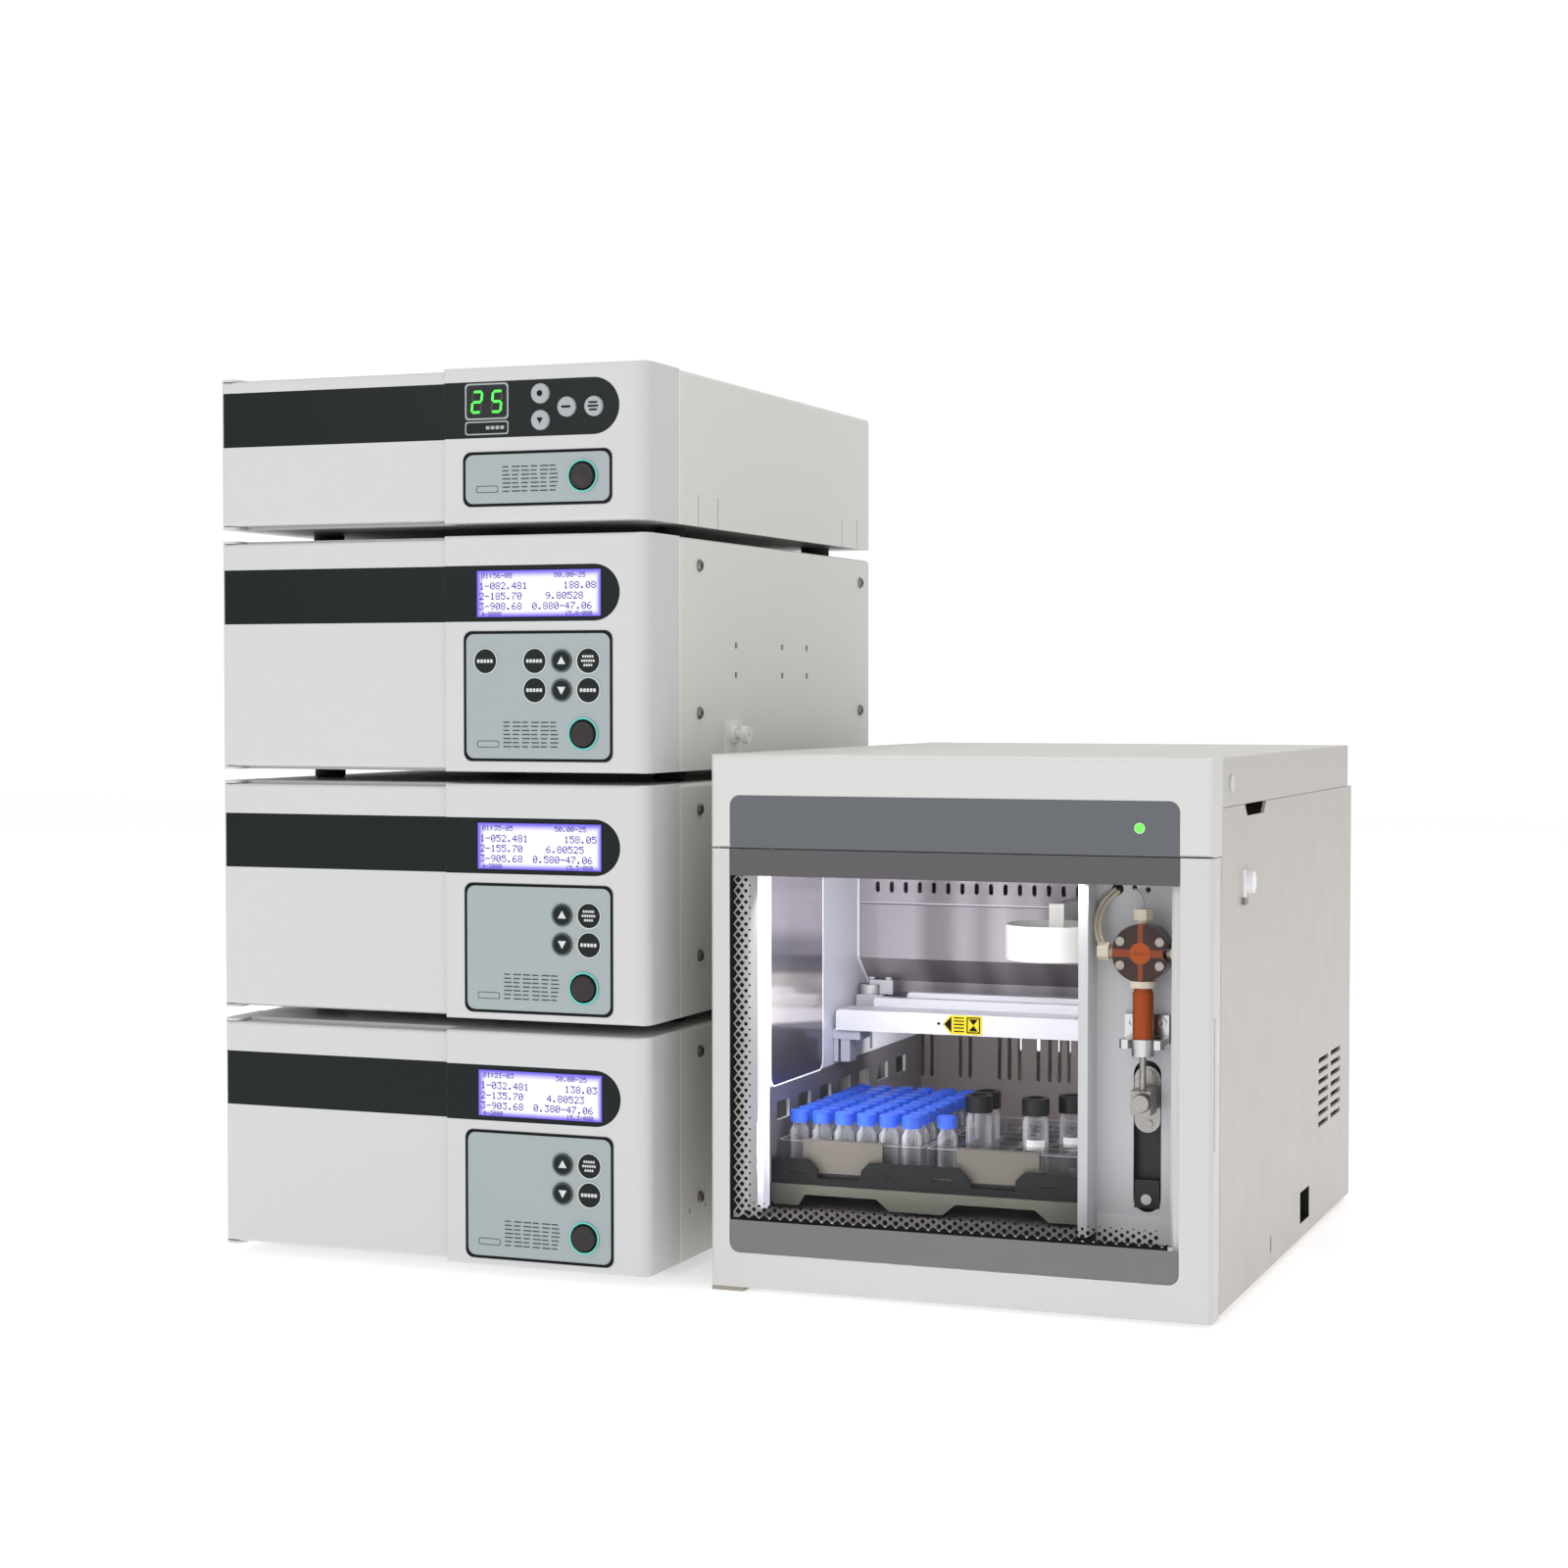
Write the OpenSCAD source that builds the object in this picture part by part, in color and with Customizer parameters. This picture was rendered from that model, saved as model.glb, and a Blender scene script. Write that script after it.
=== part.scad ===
// Liquid chromatography system: a stack of four instrument modules (two pumps,
// a detector and a column oven) beside a cooled vial sampler, on one bench.
// Millimetres, +Z up. The origin is on the bench, under the middle of the system.
// x runs along the fronts, y runs from the fronts to the backs.

/* [Stack] */
// Width of each stacked module
mod_w = 283; // [260:1:320]
// Depth of each stacked module
mod_d = 378; // [340:1:460]
// Height of a pump or detector module
mod_h = 137; // [132:1:160]
// Height of the column oven
oven_h = 90; // [86:1:110]
// Sheet metal thickness of covers and chassis
sheet = 1.5; // [1:0.1:2]
// Height of the rubber feet between modules
mod_foot_h = 7; // [5:0.5:12]
// Radius of the rubber feet
mod_foot_r = 9.5; // [7:0.5:12]
// Distance of the rubber feet from the side walls
mod_foot_x = 25; // [20:1:40]
// Distance of the front rubber feet from the fronts
mod_foot_y = 91; // [70:1:110]
// Bend radius of the covers' top edges
cover_r = 3; // [2:0.5:5]

/* [Front moulding] */
// Depth of the moulded front
front_d = 47.5; // [42:0.5:56]
// Wall of the moulded front
front_wall = 2.5; // [2:0.1:3.5]
// Corner radius at the right end of the front
front_r = 9.5; // [6:0.5:12]
// Width of the door opening on the left
door_w = 154; // [140:1:160]
// Height of the dark band
band_h = 32.5; // [30:0.5:34]
// Depth of the dark band's recess
band_t = 0.6; // [0.4:0.1:1]
// Distance from the right end of the dark band to the side
band_end = 16.5; // [14:0.5:20]
// Height of the dark band above the module's floor
band_z = 86; // [84:0.5:90]
// Height of the oven's dark band above its floor
oven_band_z = 49; // [47:0.5:50]

/* [Door] */
// Distance of the door's face behind the front moulding's face
door_set = 4; // [2:0.5:5]
// Thickness of the door over its flanges
door_t = 12; // [10:0.5:14]
// Wall of the door's skin and flanges
door_wall = 3; // [2.5:0.1:4]
// Radius of the door's hinge pins
door_pin_r = 2; // [1.5:0.1:2.5]
// Radial clearance of the door's hinge pins
pin_fit = 0.06; // [0.03:0.01:0.1]
// Gap around the doors
door_gap = 1.2; // [0.8:0.1:2]
// Thickness of the hinge lugs
lug_t = 1.5; // [1.2:0.1:2]

/* [Keys and displays] */
// Width of the grey key plates
plate_w = 95; // [92:0.5:98]
// Distance of the key plates from the right side
plate_end = 21; // [20:0.5:24]
// Height of a pump or detector key plate
plate_h = 75.4; // [74:0.2:77]
// Height of the oven's key plate
oven_plate_h = 31.6; // [30:0.2:33]
// Thickness of the key plates
plate_t = 1.4; // [1.2:0.1:2]
// Corner radius of the key plates
plate_r = 5; // [3:0.5:7]
// Radius of the keys
key_r = 5.8; // [5:0.1:6.2]
// Distance between neighbouring keys
key_pitch = 17; // [16:0.1:18]
// Height by which the embossed keys stand out
emboss = 0.5; // [0.3:0.1:0.8]
// Height by which the oven's keys stand out
key_out = 1.8; // [1.4:0.1:2.4]
// Radius of the power button
power_r = 7.4; // [6.5:0.1:8]
// Width of the light ring around the power button
ring_w = 1.3; // [1:0.1:1.8]
// Radial clearance of keys and buttons
key_gap = 0.3; // [0.3:0.05:0.5]
// Width of a text display
lcd_w = 79.6; // [76:0.2:84]
// Height of a text display
lcd_h = 27.4; // [26:0.2:29]
// Width of the oven's number display
led_w = 26.4; // [24:0.2:28]
// Height of the oven's number display
led_h = 19.6; // [18:0.2:21]

/* [Sampler] */
// Gap between the stack and the sampler
sampler_gap = 32; // [20:1:120]
// Distance of the sampler's face behind the stack's face
sampler_set = 17; // [0:1:40]
// Width of the sampler
smp_w = 290; // [284:1:320]
// Depth of the sampler
smp_d = 422; // [400:1:460]
// Height of the sampler's top above the bench
smp_h = 306; // [300:1:330]
// Height of the sampler's feet
smp_foot_h = 4; // [3.5:0.5:6]
// Sheet thickness of the sampler's case
smp_sheet = 2; // [1.5:0.1:3]
// Depth of the lid's skirt
skirt_h = 27; // [24:1:32]
// Height of the hood above the door
hood_h = 53; // [48:1:60]
// Depth of the hood
hood_d = 21; // [20:0.5:26]
// Thickness of the sampler's door
smp_door_t = 18; // [15:0.5:18.5]
// Width of the door's left stile
stile_l = 11.8; // [10:0.2:14]
// Width of the door's right stile
stile_r = 18.2; // [16:0.2:20]
// Height of the door's bottom rail below the glass panel
rail_b = 20; // [16:0.5:24]
// Radius of the sampler door's hinge pins
smp_pin_r = 1.5; // [1.2:0.1:1.8]

/* [Vials] */
// Distance between neighbouring small vials
vial_pitch = 13.9; // [13.6:0.1:14.4]
// Radius of a small vial
vial_r = 5.8; // [5.4:0.1:6]
// Height of a small vial without its cap
vial_h = 32; // [30:1:34]
// Distance between neighbouring large vials
big_pitch = 17.2; // [17:0.1:17.6]
// Radius of a large vial
big_r = 7.5; // [7:0.1:7.6]
// Height of a large vial without its cap
big_h = 41; // [38:1:45]
// Clearance of a vial in its hole
vial_fit = 0.2; // [0.1:0.05:0.3]
// Height of the vial racks
rack_h = 20; // [16:1:24]

/* [Syringe valve] */
// Radius of the valve head
valve_r = 16.1; // [15:0.1:18]
// Radius of the valve's rotor
rotor_r = 6; // [5:0.1:7]
// Radius of the syringe barrel
barrel_r = 5.8; // [5:0.1:6.5]
// Length of the syringe barrel
barrel_l = 28.4; // [26:0.2:32]
// Travel of the syringe plunger
plunger_travel = 21.5; // [15:0.5:21.5]
// Radius of the plunger's rod
rod_r = 1.9; // [1.5:0.1:2.2]
// Width of the carriage slot
slot_w = 15.7; // [14:0.1:17]

/* [Hidden] */
$fn = 48;

// modules of the stack, counted from the bench
LOWER = 0;
UPPER = 1;
DETECTOR = 2;
OVEN = 3;
eps = 0.01;
seat = 0.3;
fit = 0.2;

smp_x = mod_w + sampler_gap;
total_w = smp_x + smp_w;
total_d = sampler_set + smp_d;

function unit_h(i) = i == OVEN ? oven_h : mod_h;
function unit_z(i) = mod_foot_h + i * (mod_h + mod_foot_h);
function unit_band(i) = i == OVEN ? oven_band_z : i == DETECTOR ? band_z + 1 : band_z - 1;

// front moulding
front_x = door_w;
band_x1 = mod_w - band_end;
lcd_x = band_x1 - 11.8 - lcd_w;
led_x = mod_w - 114;
edge_r = 2.2;
hinge_x = door_t / 2;
hinge_y = door_set + door_t / 2;
pin_l = 8;
frame_y = door_set + door_t + 0.5;
bulk_y = front_d + 18;

// key plates
plate_x = mod_w - plate_end - plate_w;
function plate_hh(i) = i == OVEN ? oven_plate_h : plate_h;
function plate_z(i) = unit_band(i) - plate_hh(i) - (i == OVEN ? 8 : 5.4);
power_x = mod_w - 39.4;
function power_z(i) = plate_z(i) + 16.2;
ring_r = power_r + key_gap + ring_w;
key_x = mod_w - 36;
key_top = 58;

// sampler, in its own frame: x from its left side, y from its face, z from the bench
door_z0 = 2.6;
hood_z = smp_h - hood_h;
door_z1 = hood_z - 0.5;
skirt_z = smp_h - skirt_h;
case_y = smp_door_t + 1;
case_z = smp_foot_h;
glass_x1 = smp_w - stile_r;
glass_z0 = door_z0 + rail_b;
smp_pin = 4;
liner_x = 16;
liner_t = 1.5;
liner_z = 38;
liner_top = hood_z - 3;
liner_back = 330;
post_x = 206.5;
post_w = 5.5;
post_y = 35;
panel_y = 55;
panel_x1 = smp_w - 26;
air_y = 205;

// tray
pan_x0 = liner_x + 1.5;
pan_x1 = post_x - 4;
pan_y = 50;
pan_l = 145;
pan_z = 52;
pan_t = 2;
tray_z = pan_z + pan_t;
tray_t = 4;
rack_y = pan_y + 10;
rack_l = 8 * vial_pitch + 19;
rack_w = 5 * vial_pitch + 19.5;
rack_z = tray_z + tray_t + 0.2;
rack_lx = pan_x0 + 0.9;
rack_rx = rack_lx + rack_w + 2.2;
hole_z = rack_z + 2.4;
vial_x = rack_lx + 9.8;
vial_y = rack_y + 9.5;
big_x = rack_rx + 21.6;
big_y = rack_y + 15.8;
lone_x = rack_rx + 7.4;
lone_y = rack_y + 17;
cap_h = 7;
big_cap_h = 10;

// syringe valve
valve_x = smp_w - 47.7;
valve_z = 197.7;
valve_y = 32;
valve_l = 14;
valve_axis_y = valve_y + valve_l / 2;
valve_notch = 4.5;
neck_w = 2.6;
collar_h = 4;
barrel_z1 = valve_z - valve_r - collar_h + 0.8;
barrel_z0 = barrel_z1 - barrel_l;
barrel_wall = 1.6;
clamp_h = 9.4;
clamp_r = 6.7;
slot_x = valve_x - 1.2;
slot_z1 = barrel_z0 - 14;
block_w = 11.5;
block_l = 15;
block_h = 13.3;
block_z = slot_z1 - 27.8;
slide_z0 = slot_z1 - 40.5;
slot_z0 = slide_z0 - plunger_travel - 23.2;
slide_h = 37.3;

// tubes of the valve, and their holes in the panel
tube_r = 1.1;
bend_r = 23.9;
bend_x = valve_x - 5;
bend_z = valve_z + 15.7;
bend_tilt = 20;
hole_r = 3.4;
hole_x = bend_x - 13.3;
hole_up = bend_z + 18;
thin_r = 0.4;
thin_bend = 24;

// smaller parts of the modules and of the sampler
screw_y = [77, mod_d - 18];
screw_z = [34, 121];
screw_r = 2;
head_r = 3.7;
head_h = 1.8;
button_out = 2.4;
knob_out = 4.5;
drain_y = 129;
drain_z = 20.4;
drain_r = 2.4;
led_z = unit_band(OVEN) + 11.3;
// oven keys, x from the front's left corner and z from the band's lower edge
oven_keys = [[mod_w - 66.2, 24.4], [mod_w - 66.2, 9.2], [mod_w - 49.5, 16.2], [mod_w - 32.5, 16]];
lid_y1 = smp_d - 14;
vent_rows = 7;
vent_y = [309, 352];
vent_pitch = 6.8;
vent_top = 105;
switch_y = 249;
switch_l = 30;
switch_z = 13;
switch_h = 19.5;
glass_y = 0.5;
glass_t = 4;
light_w = 6.5;
ledge_z = 110;
rail_x = [52, 152];
rail_y = 96;
skirt_mid = 3.5;
rail_h = pan_z - skirt_mid - 0.1 - liner_z - liner_t;
// left sides of the inlet slots in the chamber's back wall
inlet_slots = [16.8, 23.4, 43.6, 50.5, 71.1, 78, 85.1, 98, 106, 112.7, 119.1, 140, 147, 168, 175];
beam_y = 155;
needle_x = 24.9;
beam_d = 41;
rail_x0 = 17;
beam_z = 132.3;
left_places = [for (i = [0:5], j = [0:8]) [vial_x + i * vial_pitch, vial_y + j * vial_pitch, vial_r + vial_fit]];
right_places = [for (i = [0:3], j = [0:6]) [big_x + i * big_pitch, big_y + j * big_pitch, big_r + vial_fit],
    for (j = [0:7]) [lone_x, lone_y + (j - 1) * 15, vial_r + vial_fit]];
big_vials = [[0, 1], [0, 2], [2, 1], [3, 2]];
neck_r = 4.1;
big_neck_r = 6.2;

// moves a piece from the system's front left corner to the origin
module placed()
    translate([-(total_w + knob_out - head_h) / 2, -(total_d - button_out) / 2, 0]) children();

// moves a piece to its module in the stack
module in_stack(i) placed() translate([0, 0, unit_z(i)]) children();

// moves a piece to the sampler's own frame
module in_sampler() placed() translate([smp_x, sampler_set, 0]) children();

// rectangle with four round corners
module rrect(w, h, r) {
    translate([r, 0]) square([w - 2 * r, h]);
    translate([0, r]) square([w, h - 2 * r]);
    for (x = [r, w - r], y = [r, h - r]) translate([x, y]) circle(r);
}

// rectangle with its two upper corners round
module round_top(w, h, r) {
    square([w, h - r]);
    translate([r, 0]) square([w - 2 * r, h]);
    for (x = [r, w - r]) translate([x, h - r]) circle(r);
}

// rectangle with its two lower corners round
module round_bottom(w, h, r) translate([0, h]) mirror([0, 1]) round_top(w, h, r);

// stands a flat outline up in the x-z plane, from y0 back to y0 + t
module upright(y0, t) translate([0, y0 + t, 0]) rotate([90, 0, 0]) linear_extrude(t) children();

// lays a y-z outline along x, from x0 to x0 + l
module along_x(x0, l) translate([x0, 0, 0]) rotate([90, 0, 90]) linear_extrude(l) children();

// a rod along y, from y0 back to y0 + l
module rod_y(x, z, r, y0, l) translate([x, y0, z]) rotate([-90, 0, 0]) cylinder(r = r, h = l);

// a rod along x, from x0 to x0 + l
module rod_x(x0, y, z, r, l) translate([x0, y, z]) rotate([0, 90, 0]) cylinder(r = r, h = l);

// ---------------------------------------------------------------- stack sheet metal

// places its child at each cover screw of a module, facing out of its right side
module at_screws(h) {
    for (y = screw_y, z = screw_z) if (z < h - 10) {
        translate([mod_w, y, z]) rotate([0, 90, 0]) children();
        translate([0, y, z]) rotate([0, -90, 0]) children();
    }
}

// bent cover: top and two sides
module unit_cover(i) {
    h = unit_h(i);
    color("gainsboro") in_stack(i) difference() {
        upright(front_d, mod_d - front_d) difference() {
            round_top(mod_w, h, cover_r);
            translate([sheet, -eps]) round_top(mod_w - 2 * sheet, h - sheet, cover_r - sheet);
        }
        if (i == OVEN) oven_slits();
        else at_screws(h) cylinder(r = screw_r + 0.3, h = 8, center = true);
        if (i == DETECTOR) {
            for (y = [135, 213, 257], z = [55, 73])
                translate([mod_w - 2 * sheet, y - 2, z]) cube([4 * sheet, 4, 3.6]);
            rod_x(mod_w - 4, drain_y, drain_z, drain_r + 0.2, 8);
        }
        if (i == UPPER || i == LOWER)
            for (y = [62, 86]) rod_x(mod_w - 4, y, 28, 1.5, 8);
    }
}

// relief slits up from the lower edges of the oven's cover
module oven_slits()
    for (y = [76, 106, mod_d - 54, mod_d - 24], x = [-1, mod_w - 3])
        translate([x, y - 0.6, -1]) cube([4, 1.2, 20]);

// chassis: floor, bulkhead behind the front, back panel and corner posts
module unit_chassis(i) {
    h = unit_h(i);
    in_w = mod_w - 2 * sheet - 2 * fit;
    post = 10;
    color("silver") in_stack(i) translate([sheet + fit, 0, 0]) difference() {
        union() {
            translate([0, front_d + fit, 0]) cube([in_w, mod_d - front_d - fit, sheet]);
            translate([0, bulk_y, 0]) cube([in_w, sheet, h - cover_r]);
            translate([0, mod_d - sheet, 0]) cube([in_w, sheet, h - cover_r]);
            for (x = [0, in_w - post], y = screw_y)
                translate([x, y - post / 2, 0]) cube([post, post, h - cover_r]);
            // wall between the door's compartment and the electronics
            translate([door_w, front_d + fit, 0]) cube([sheet, bulk_y - front_d, h - cover_r]);
        }
        translate([-sheet - fit, 0, 0]) at_screws(h)
            translate([0, 0, -12]) cylinder(r = screw_r + 0.05, h = 13);
        back_vents(h);
    }
}

// vent slots in a back panel
module back_vents(h) {
    for (k = [0:11])
        translate([60 + 9 * k, mod_d - sheet - 1, h / 2 - 20]) cube([4, 4, 44]);
}

// four rubber feet below each module
module module_feet() {
    color("#222222") for (i = [LOWER:OVEN]) in_stack(i)
        for (x = [mod_foot_x, mod_w - mod_foot_x], y = [mod_foot_y, mod_d - 39])
            translate([x, y, -mod_foot_h]) rotate_extrude() polygon([[0, 0], [mod_foot_r - 1, 0],
                [mod_foot_r, 1], [mod_foot_r, mod_foot_h], [0, mod_foot_h]]);
}

// pan head screws that hold the covers of the lower three modules
module cover_screws() {
    color("silver") for (i = [LOWER:DETECTOR]) in_stack(i) at_screws(mod_h) {
        difference() {
            translate([0, 0, 0]) rotate_extrude() polygon([[0, 0], [head_r, 0], [head_r, 0.7],
                [head_r - 1, head_h], [0, head_h]]);
            for (a = [0, 90]) rotate(a) translate([-1.8, -0.4, head_h - 0.9]) cube([3.6, 0.8, 2]);
        }
        translate([0, 0, -9]) cylinder(r = screw_r, h = 9 + eps);
    }
}

// drain fitting on the detector's right side
module drain_fitting() {
    color("white") in_stack(DETECTOR) translate([mod_w, drain_y, drain_z]) rotate([0, 90, 0])
        difference() {
            union() {
                translate([0, 0, -6]) cylinder(r = drain_r, h = 17);
                // wall plate, nut and round end
                translate([-8.3, -13.3, 0]) cube([21.6, 27.3, 0.8]);
                translate([0, 0, 0.8 - eps]) cylinder(r = 5.4, h = 2.6);
                translate([0, 0, 7]) cylinder(r = 5.4, h = 4);
            }
            translate([0, 0, -7]) cylinder(r = 1, h = 20);
        }
}

// ---------------------------------------------------------------- front mouldings

// plan of the right part of the front, reduced all round by d
module front_plan(d) {
    x0 = front_x + d;
    x1 = mod_w - d;
    r1 = front_r - d;
    translate([x0, edge_r + d]) square([x1 - x0, front_d - edge_r - d + (d > 0 ? 1 : 0)]);
    translate([x0 + edge_r, d]) square([x1 - x0 - edge_r - r1, front_r]);
    translate([x0 + edge_r, d + edge_r]) circle(edge_r);
    difference() {
        translate([x1 - r1, d + r1]) circle(r1);
        translate([x1 - r1 - 2 * r1, d + r1]) square([4 * r1, 2 * r1]);
    }
}

// y-z outline with its front edges rounded, of height h and depth d, set back by s
module nose(s, d, h, r) {
    translate([s + r, 0]) square([d - r, h]);
    translate([s, r]) square([d, h - 2 * r]);
    for (z = [r, h - r]) translate([s + r, z]) circle(r);
}

// a solid with the plan of the front's right part and rounded long edges
module front_block(h) {
    intersection() {
        linear_extrude(h) difference() {
            front_plan(0);
            // the corner outside the radius
            difference() {
                translate([mod_w - front_r, -1]) square([front_r + 1, front_r + 1]);
                translate([mod_w - front_r, front_r]) circle(front_r);
            }
        }
        along_x(-1, mod_w + 2) nose(0, front_d, h, edge_r);
    }
}

// outline of the dark band on the right part of the front
module band_shape(d = 0) {
    r = band_h / 2 - d;
    translate([front_x - 1, d]) square([band_x1 - band_h / 2 - front_x + 1, band_h - 2 * d]);
    translate([band_x1 - band_h / 2, band_h / 2]) circle(r);
}

// moulded front: shell on the right, open frame and hinge lugs on the left
module unit_front(i) {
    h = unit_h(i);
    bz = unit_band(i);
    w = front_wall;
    color("whitesmoke") in_stack(i) difference() {
        union() {
            difference() {
                front_block(h);
                translate([0, 0, w]) linear_extrude(h - 2 * w) front_plan(w);
            }
            // frame behind the door
            difference() {
                translate([0, frame_y, 0]) cube([front_x + eps, front_d - frame_y, h]);
                translate([w, frame_y - 1, w]) cube([front_x - w, front_d, h - 2 * w]);
            }
            hinge_lugs(h);
        }
        translate([0, 0, bz]) upright(-1, band_t + 1) band_shape();
        translate([plate_x - seat / 2, 0, plate_z(i) - seat / 2]) upright(-1, plate_t + 0.8)
            rrect(plate_w + seat, plate_hh(i) + seat, plate_r + seat / 2);
        rod_y(power_x, power_z(i), ring_r + 0.1, -1, 8);
        front_openings(i);
    }
}

// lugs above and below the door, each with its hinge pin
module hinge_lugs(h) {
    for (z = [0, h - lug_t]) translate([0, 0, z]) linear_extrude(lug_t) {
        translate([hinge_x, hinge_y]) circle(hinge_x);
        translate([0, hinge_y]) square([2 * hinge_x, frame_y - hinge_y + eps]);
    }
    translate([hinge_x, hinge_y, lug_t - eps]) cylinder(r = door_pin_r, h = pin_l);
    translate([hinge_x, hinge_y, h - lug_t - pin_l + eps]) cylinder(r = door_pin_r, h = pin_l);
}

// windows and key holes in the band
module front_openings(i) {
    if (i == OVEN) {
        translate([led_x - 0.2, 0, led_z - 0.2]) upright(-1, 9) square([led_w + 0.4, led_h + 0.4]);
        for (p = oven_keys) rod_y(p[0], unit_band(OVEN) + p[1], key_r + key_gap, -1, 8);
    } else {
        translate([lcd_x - 0.2, 0, lcd_z(i) - 0.2]) upright(-1, 9)
            square([lcd_w + 0.4, lcd_h + 0.4]);
    }
}

function lcd_z(i) = unit_band(i) + 2.4;

// text displays of the lower three modules and the oven's number display
module displays() {
    flange = 4;
    back = front_wall + 0.05;
    color("lavender") {
        for (i = [LOWER:DETECTOR]) in_stack(i) translate([lcd_x, 0, lcd_z(i)]) {
            upright(band_t, back - band_t + eps) square([lcd_w, lcd_h]);
            translate([-flange, 0, -1.2]) upright(back, 6) square([lcd_w + 2 * flange, lcd_h + 2.4]);
        }
        in_stack(OVEN) translate([led_x, 0, led_z]) {
            upright(band_t, back - band_t + eps) square([led_w, led_h]);
            translate([-2, 0, -1.5]) upright(back, 6) square([led_w + 4, led_h + 3]);
        }
    }
}

// grey key plate with its light ring; the lower three have embossed keys
module unit_keypad(i) {
    z = plate_z(i);
    rows = i == DETECTOR ? [[0, 0], [1, 0], [2, 0], [0, 1], [1, 1], [2, 1], [3.86, 0]]
        : i == OVEN ? [] : [[0, 0], [1, 0], [0, 1], [1, 1]];
    color("lightslategray") in_stack(i) {
        difference() {
            translate([plate_x, 0, z]) upright(-0.2, plate_t) rrect(plate_w, plate_hh(i), plate_r);
            rod_y(power_x, power_z(i), power_r + key_gap, -3, 9);
        }
        difference() {
            rod_y(power_x, power_z(i), ring_r, -1, 4);
            rod_y(power_x, power_z(i), power_r + key_gap, -3, 9);
        }
        for (k = rows)
            translate([key_x - k[0] * key_pitch, -0.2 - emboss, z + key_top - k[1] * 16.8])
                rotate([-90, 0, 0]) rotate_extrude() polygon([[0, 0], [key_r - 0.6, 0],
                    [key_r, 0.4], [key_r, emboss + 0.4], [0, emboss + 0.4]]);
    }
}

// a round button that slides along y: cap, stem and retaining flange
module round_button(x, z, r, out) {
    depth = 4.5;
    translate([x, -out, z]) rotate([-90, 0, 0]) rotate_extrude() polygon([[0, 0.3], [r - 2, 0],
        [r - 0.9, 0.1], [r - 0.2, 0.5], [r, 1.2], [r, out + depth], [r - 2, out + depth],
        [r - 2, out + depth + 3], [0, out + depth + 3]]);
}

module unit_power_button(i)
    color("#3a3434") in_stack(i) round_button(power_x, power_z(i), power_r, button_out);

module oven_key(k)
    color("#b9bcbf") in_stack(OVEN)
        round_button(oven_keys[k][0], unit_band(OVEN) + oven_keys[k][1], key_r, key_out - band_t);

// hinged door: skin with flanges, hinge barrel on the left, dark band across it
module unit_door(i) {
    h = unit_h(i);
    z0 = lug_t + seat;
    dh = h - 2 * z0;
    x1 = front_x - door_gap;
    r = door_t / 2;
    color("whitesmoke") in_stack(i) difference() {
        translate([0, 0, z0]) intersection() {
            difference() {
                linear_extrude(dh) {
                    translate([r, hinge_y]) circle(r);
                    translate([r, door_set]) square([x1 - r, door_t]);
                }
                translate([2 * r, door_set + door_wall, door_wall])
                    cube([x1 - 2 * r - door_wall, door_t, dh - 2 * door_wall]);
            }
            along_x(-1, front_x + 2) nose(door_set, door_t, dh, edge_r);
        }
        for (z = [z0 - 1, h - z0 - pin_l]) translate([r, hinge_y, z])
            cylinder(r = door_pin_r + pin_fit, h = pin_l + 1);
        translate([-1, 0, unit_band(i)]) upright(-1, door_set + band_t + 1) square([x1 + 2, band_h]);
    }
}

// ---------------------------------------------------------------- behind the stack's doors

// heated column block with a column in its clips
module column_block() {
    block = [112, 12, 56];
    column_l = 100;
    color("silver") in_stack(OVEN) translate([22, bulk_y - block[1] - eps, 16]) {
        cube(block);
        for (x = [16, block[0] - 22]) translate([x, -9, block[2] / 2 - 8]) difference() {
            cube([6, 9 + eps, 16]);
            rod_x(-1, 1, 8, 3.3, 8);
        }
        rod_x(6, -8, block[2] / 2, 3.2, column_l);
        for (x = [1, 6 + column_l - 7]) translate([x, -8, block[2] / 2]) rotate([0, 90, 0])
            cylinder(r = 6, h = 12, $fn = 6);
    }
}

// flow cell housing with its lamp cover and two tube ports
module flow_cell() {
    color("dimgray") in_stack(DETECTOR) translate([30, bulk_y, 30]) {
        translate([0, -30, 0]) cube([52, 30, 48]);
        rod_y(26, 24, 15, -40, 11);
        for (z = [9, 39]) rod_y(26, z, 3.5, -36, 7);
        translate([62, -22, 4]) cube([38, 22, 60]);
        for (z = [12, 56]) rod_y(81, z, 4, -26, 5);
    }
}

// pump head: body, two valve holders above and below, purge knob
module pump_head(i) {
    color("silver") in_stack(i) translate([78, bulk_y, 68]) {
        rod_y(0, 0, 25, -22, 22);
        rod_y(0, 0, 19, -34, 13);
        for (a = [45:90:315]) rod_y(19 * cos(a), 19 * sin(a), 2.6, -25, 4);
        for (s = [-1, 1]) translate([0, -28, s > 0 ? 16 : -34]) {
            cylinder(r = 7, h = 18, $fn = 6);
            translate([0, 0, s > 0 ? 17 : -5]) cylinder(r = 4, h = 6);
        }
        rod_y(42, 30, 10, -38, 14);
        rod_y(42, 30, 5, -25, 25);
    }
}

// ---------------------------------------------------------------- sampler housing

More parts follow.
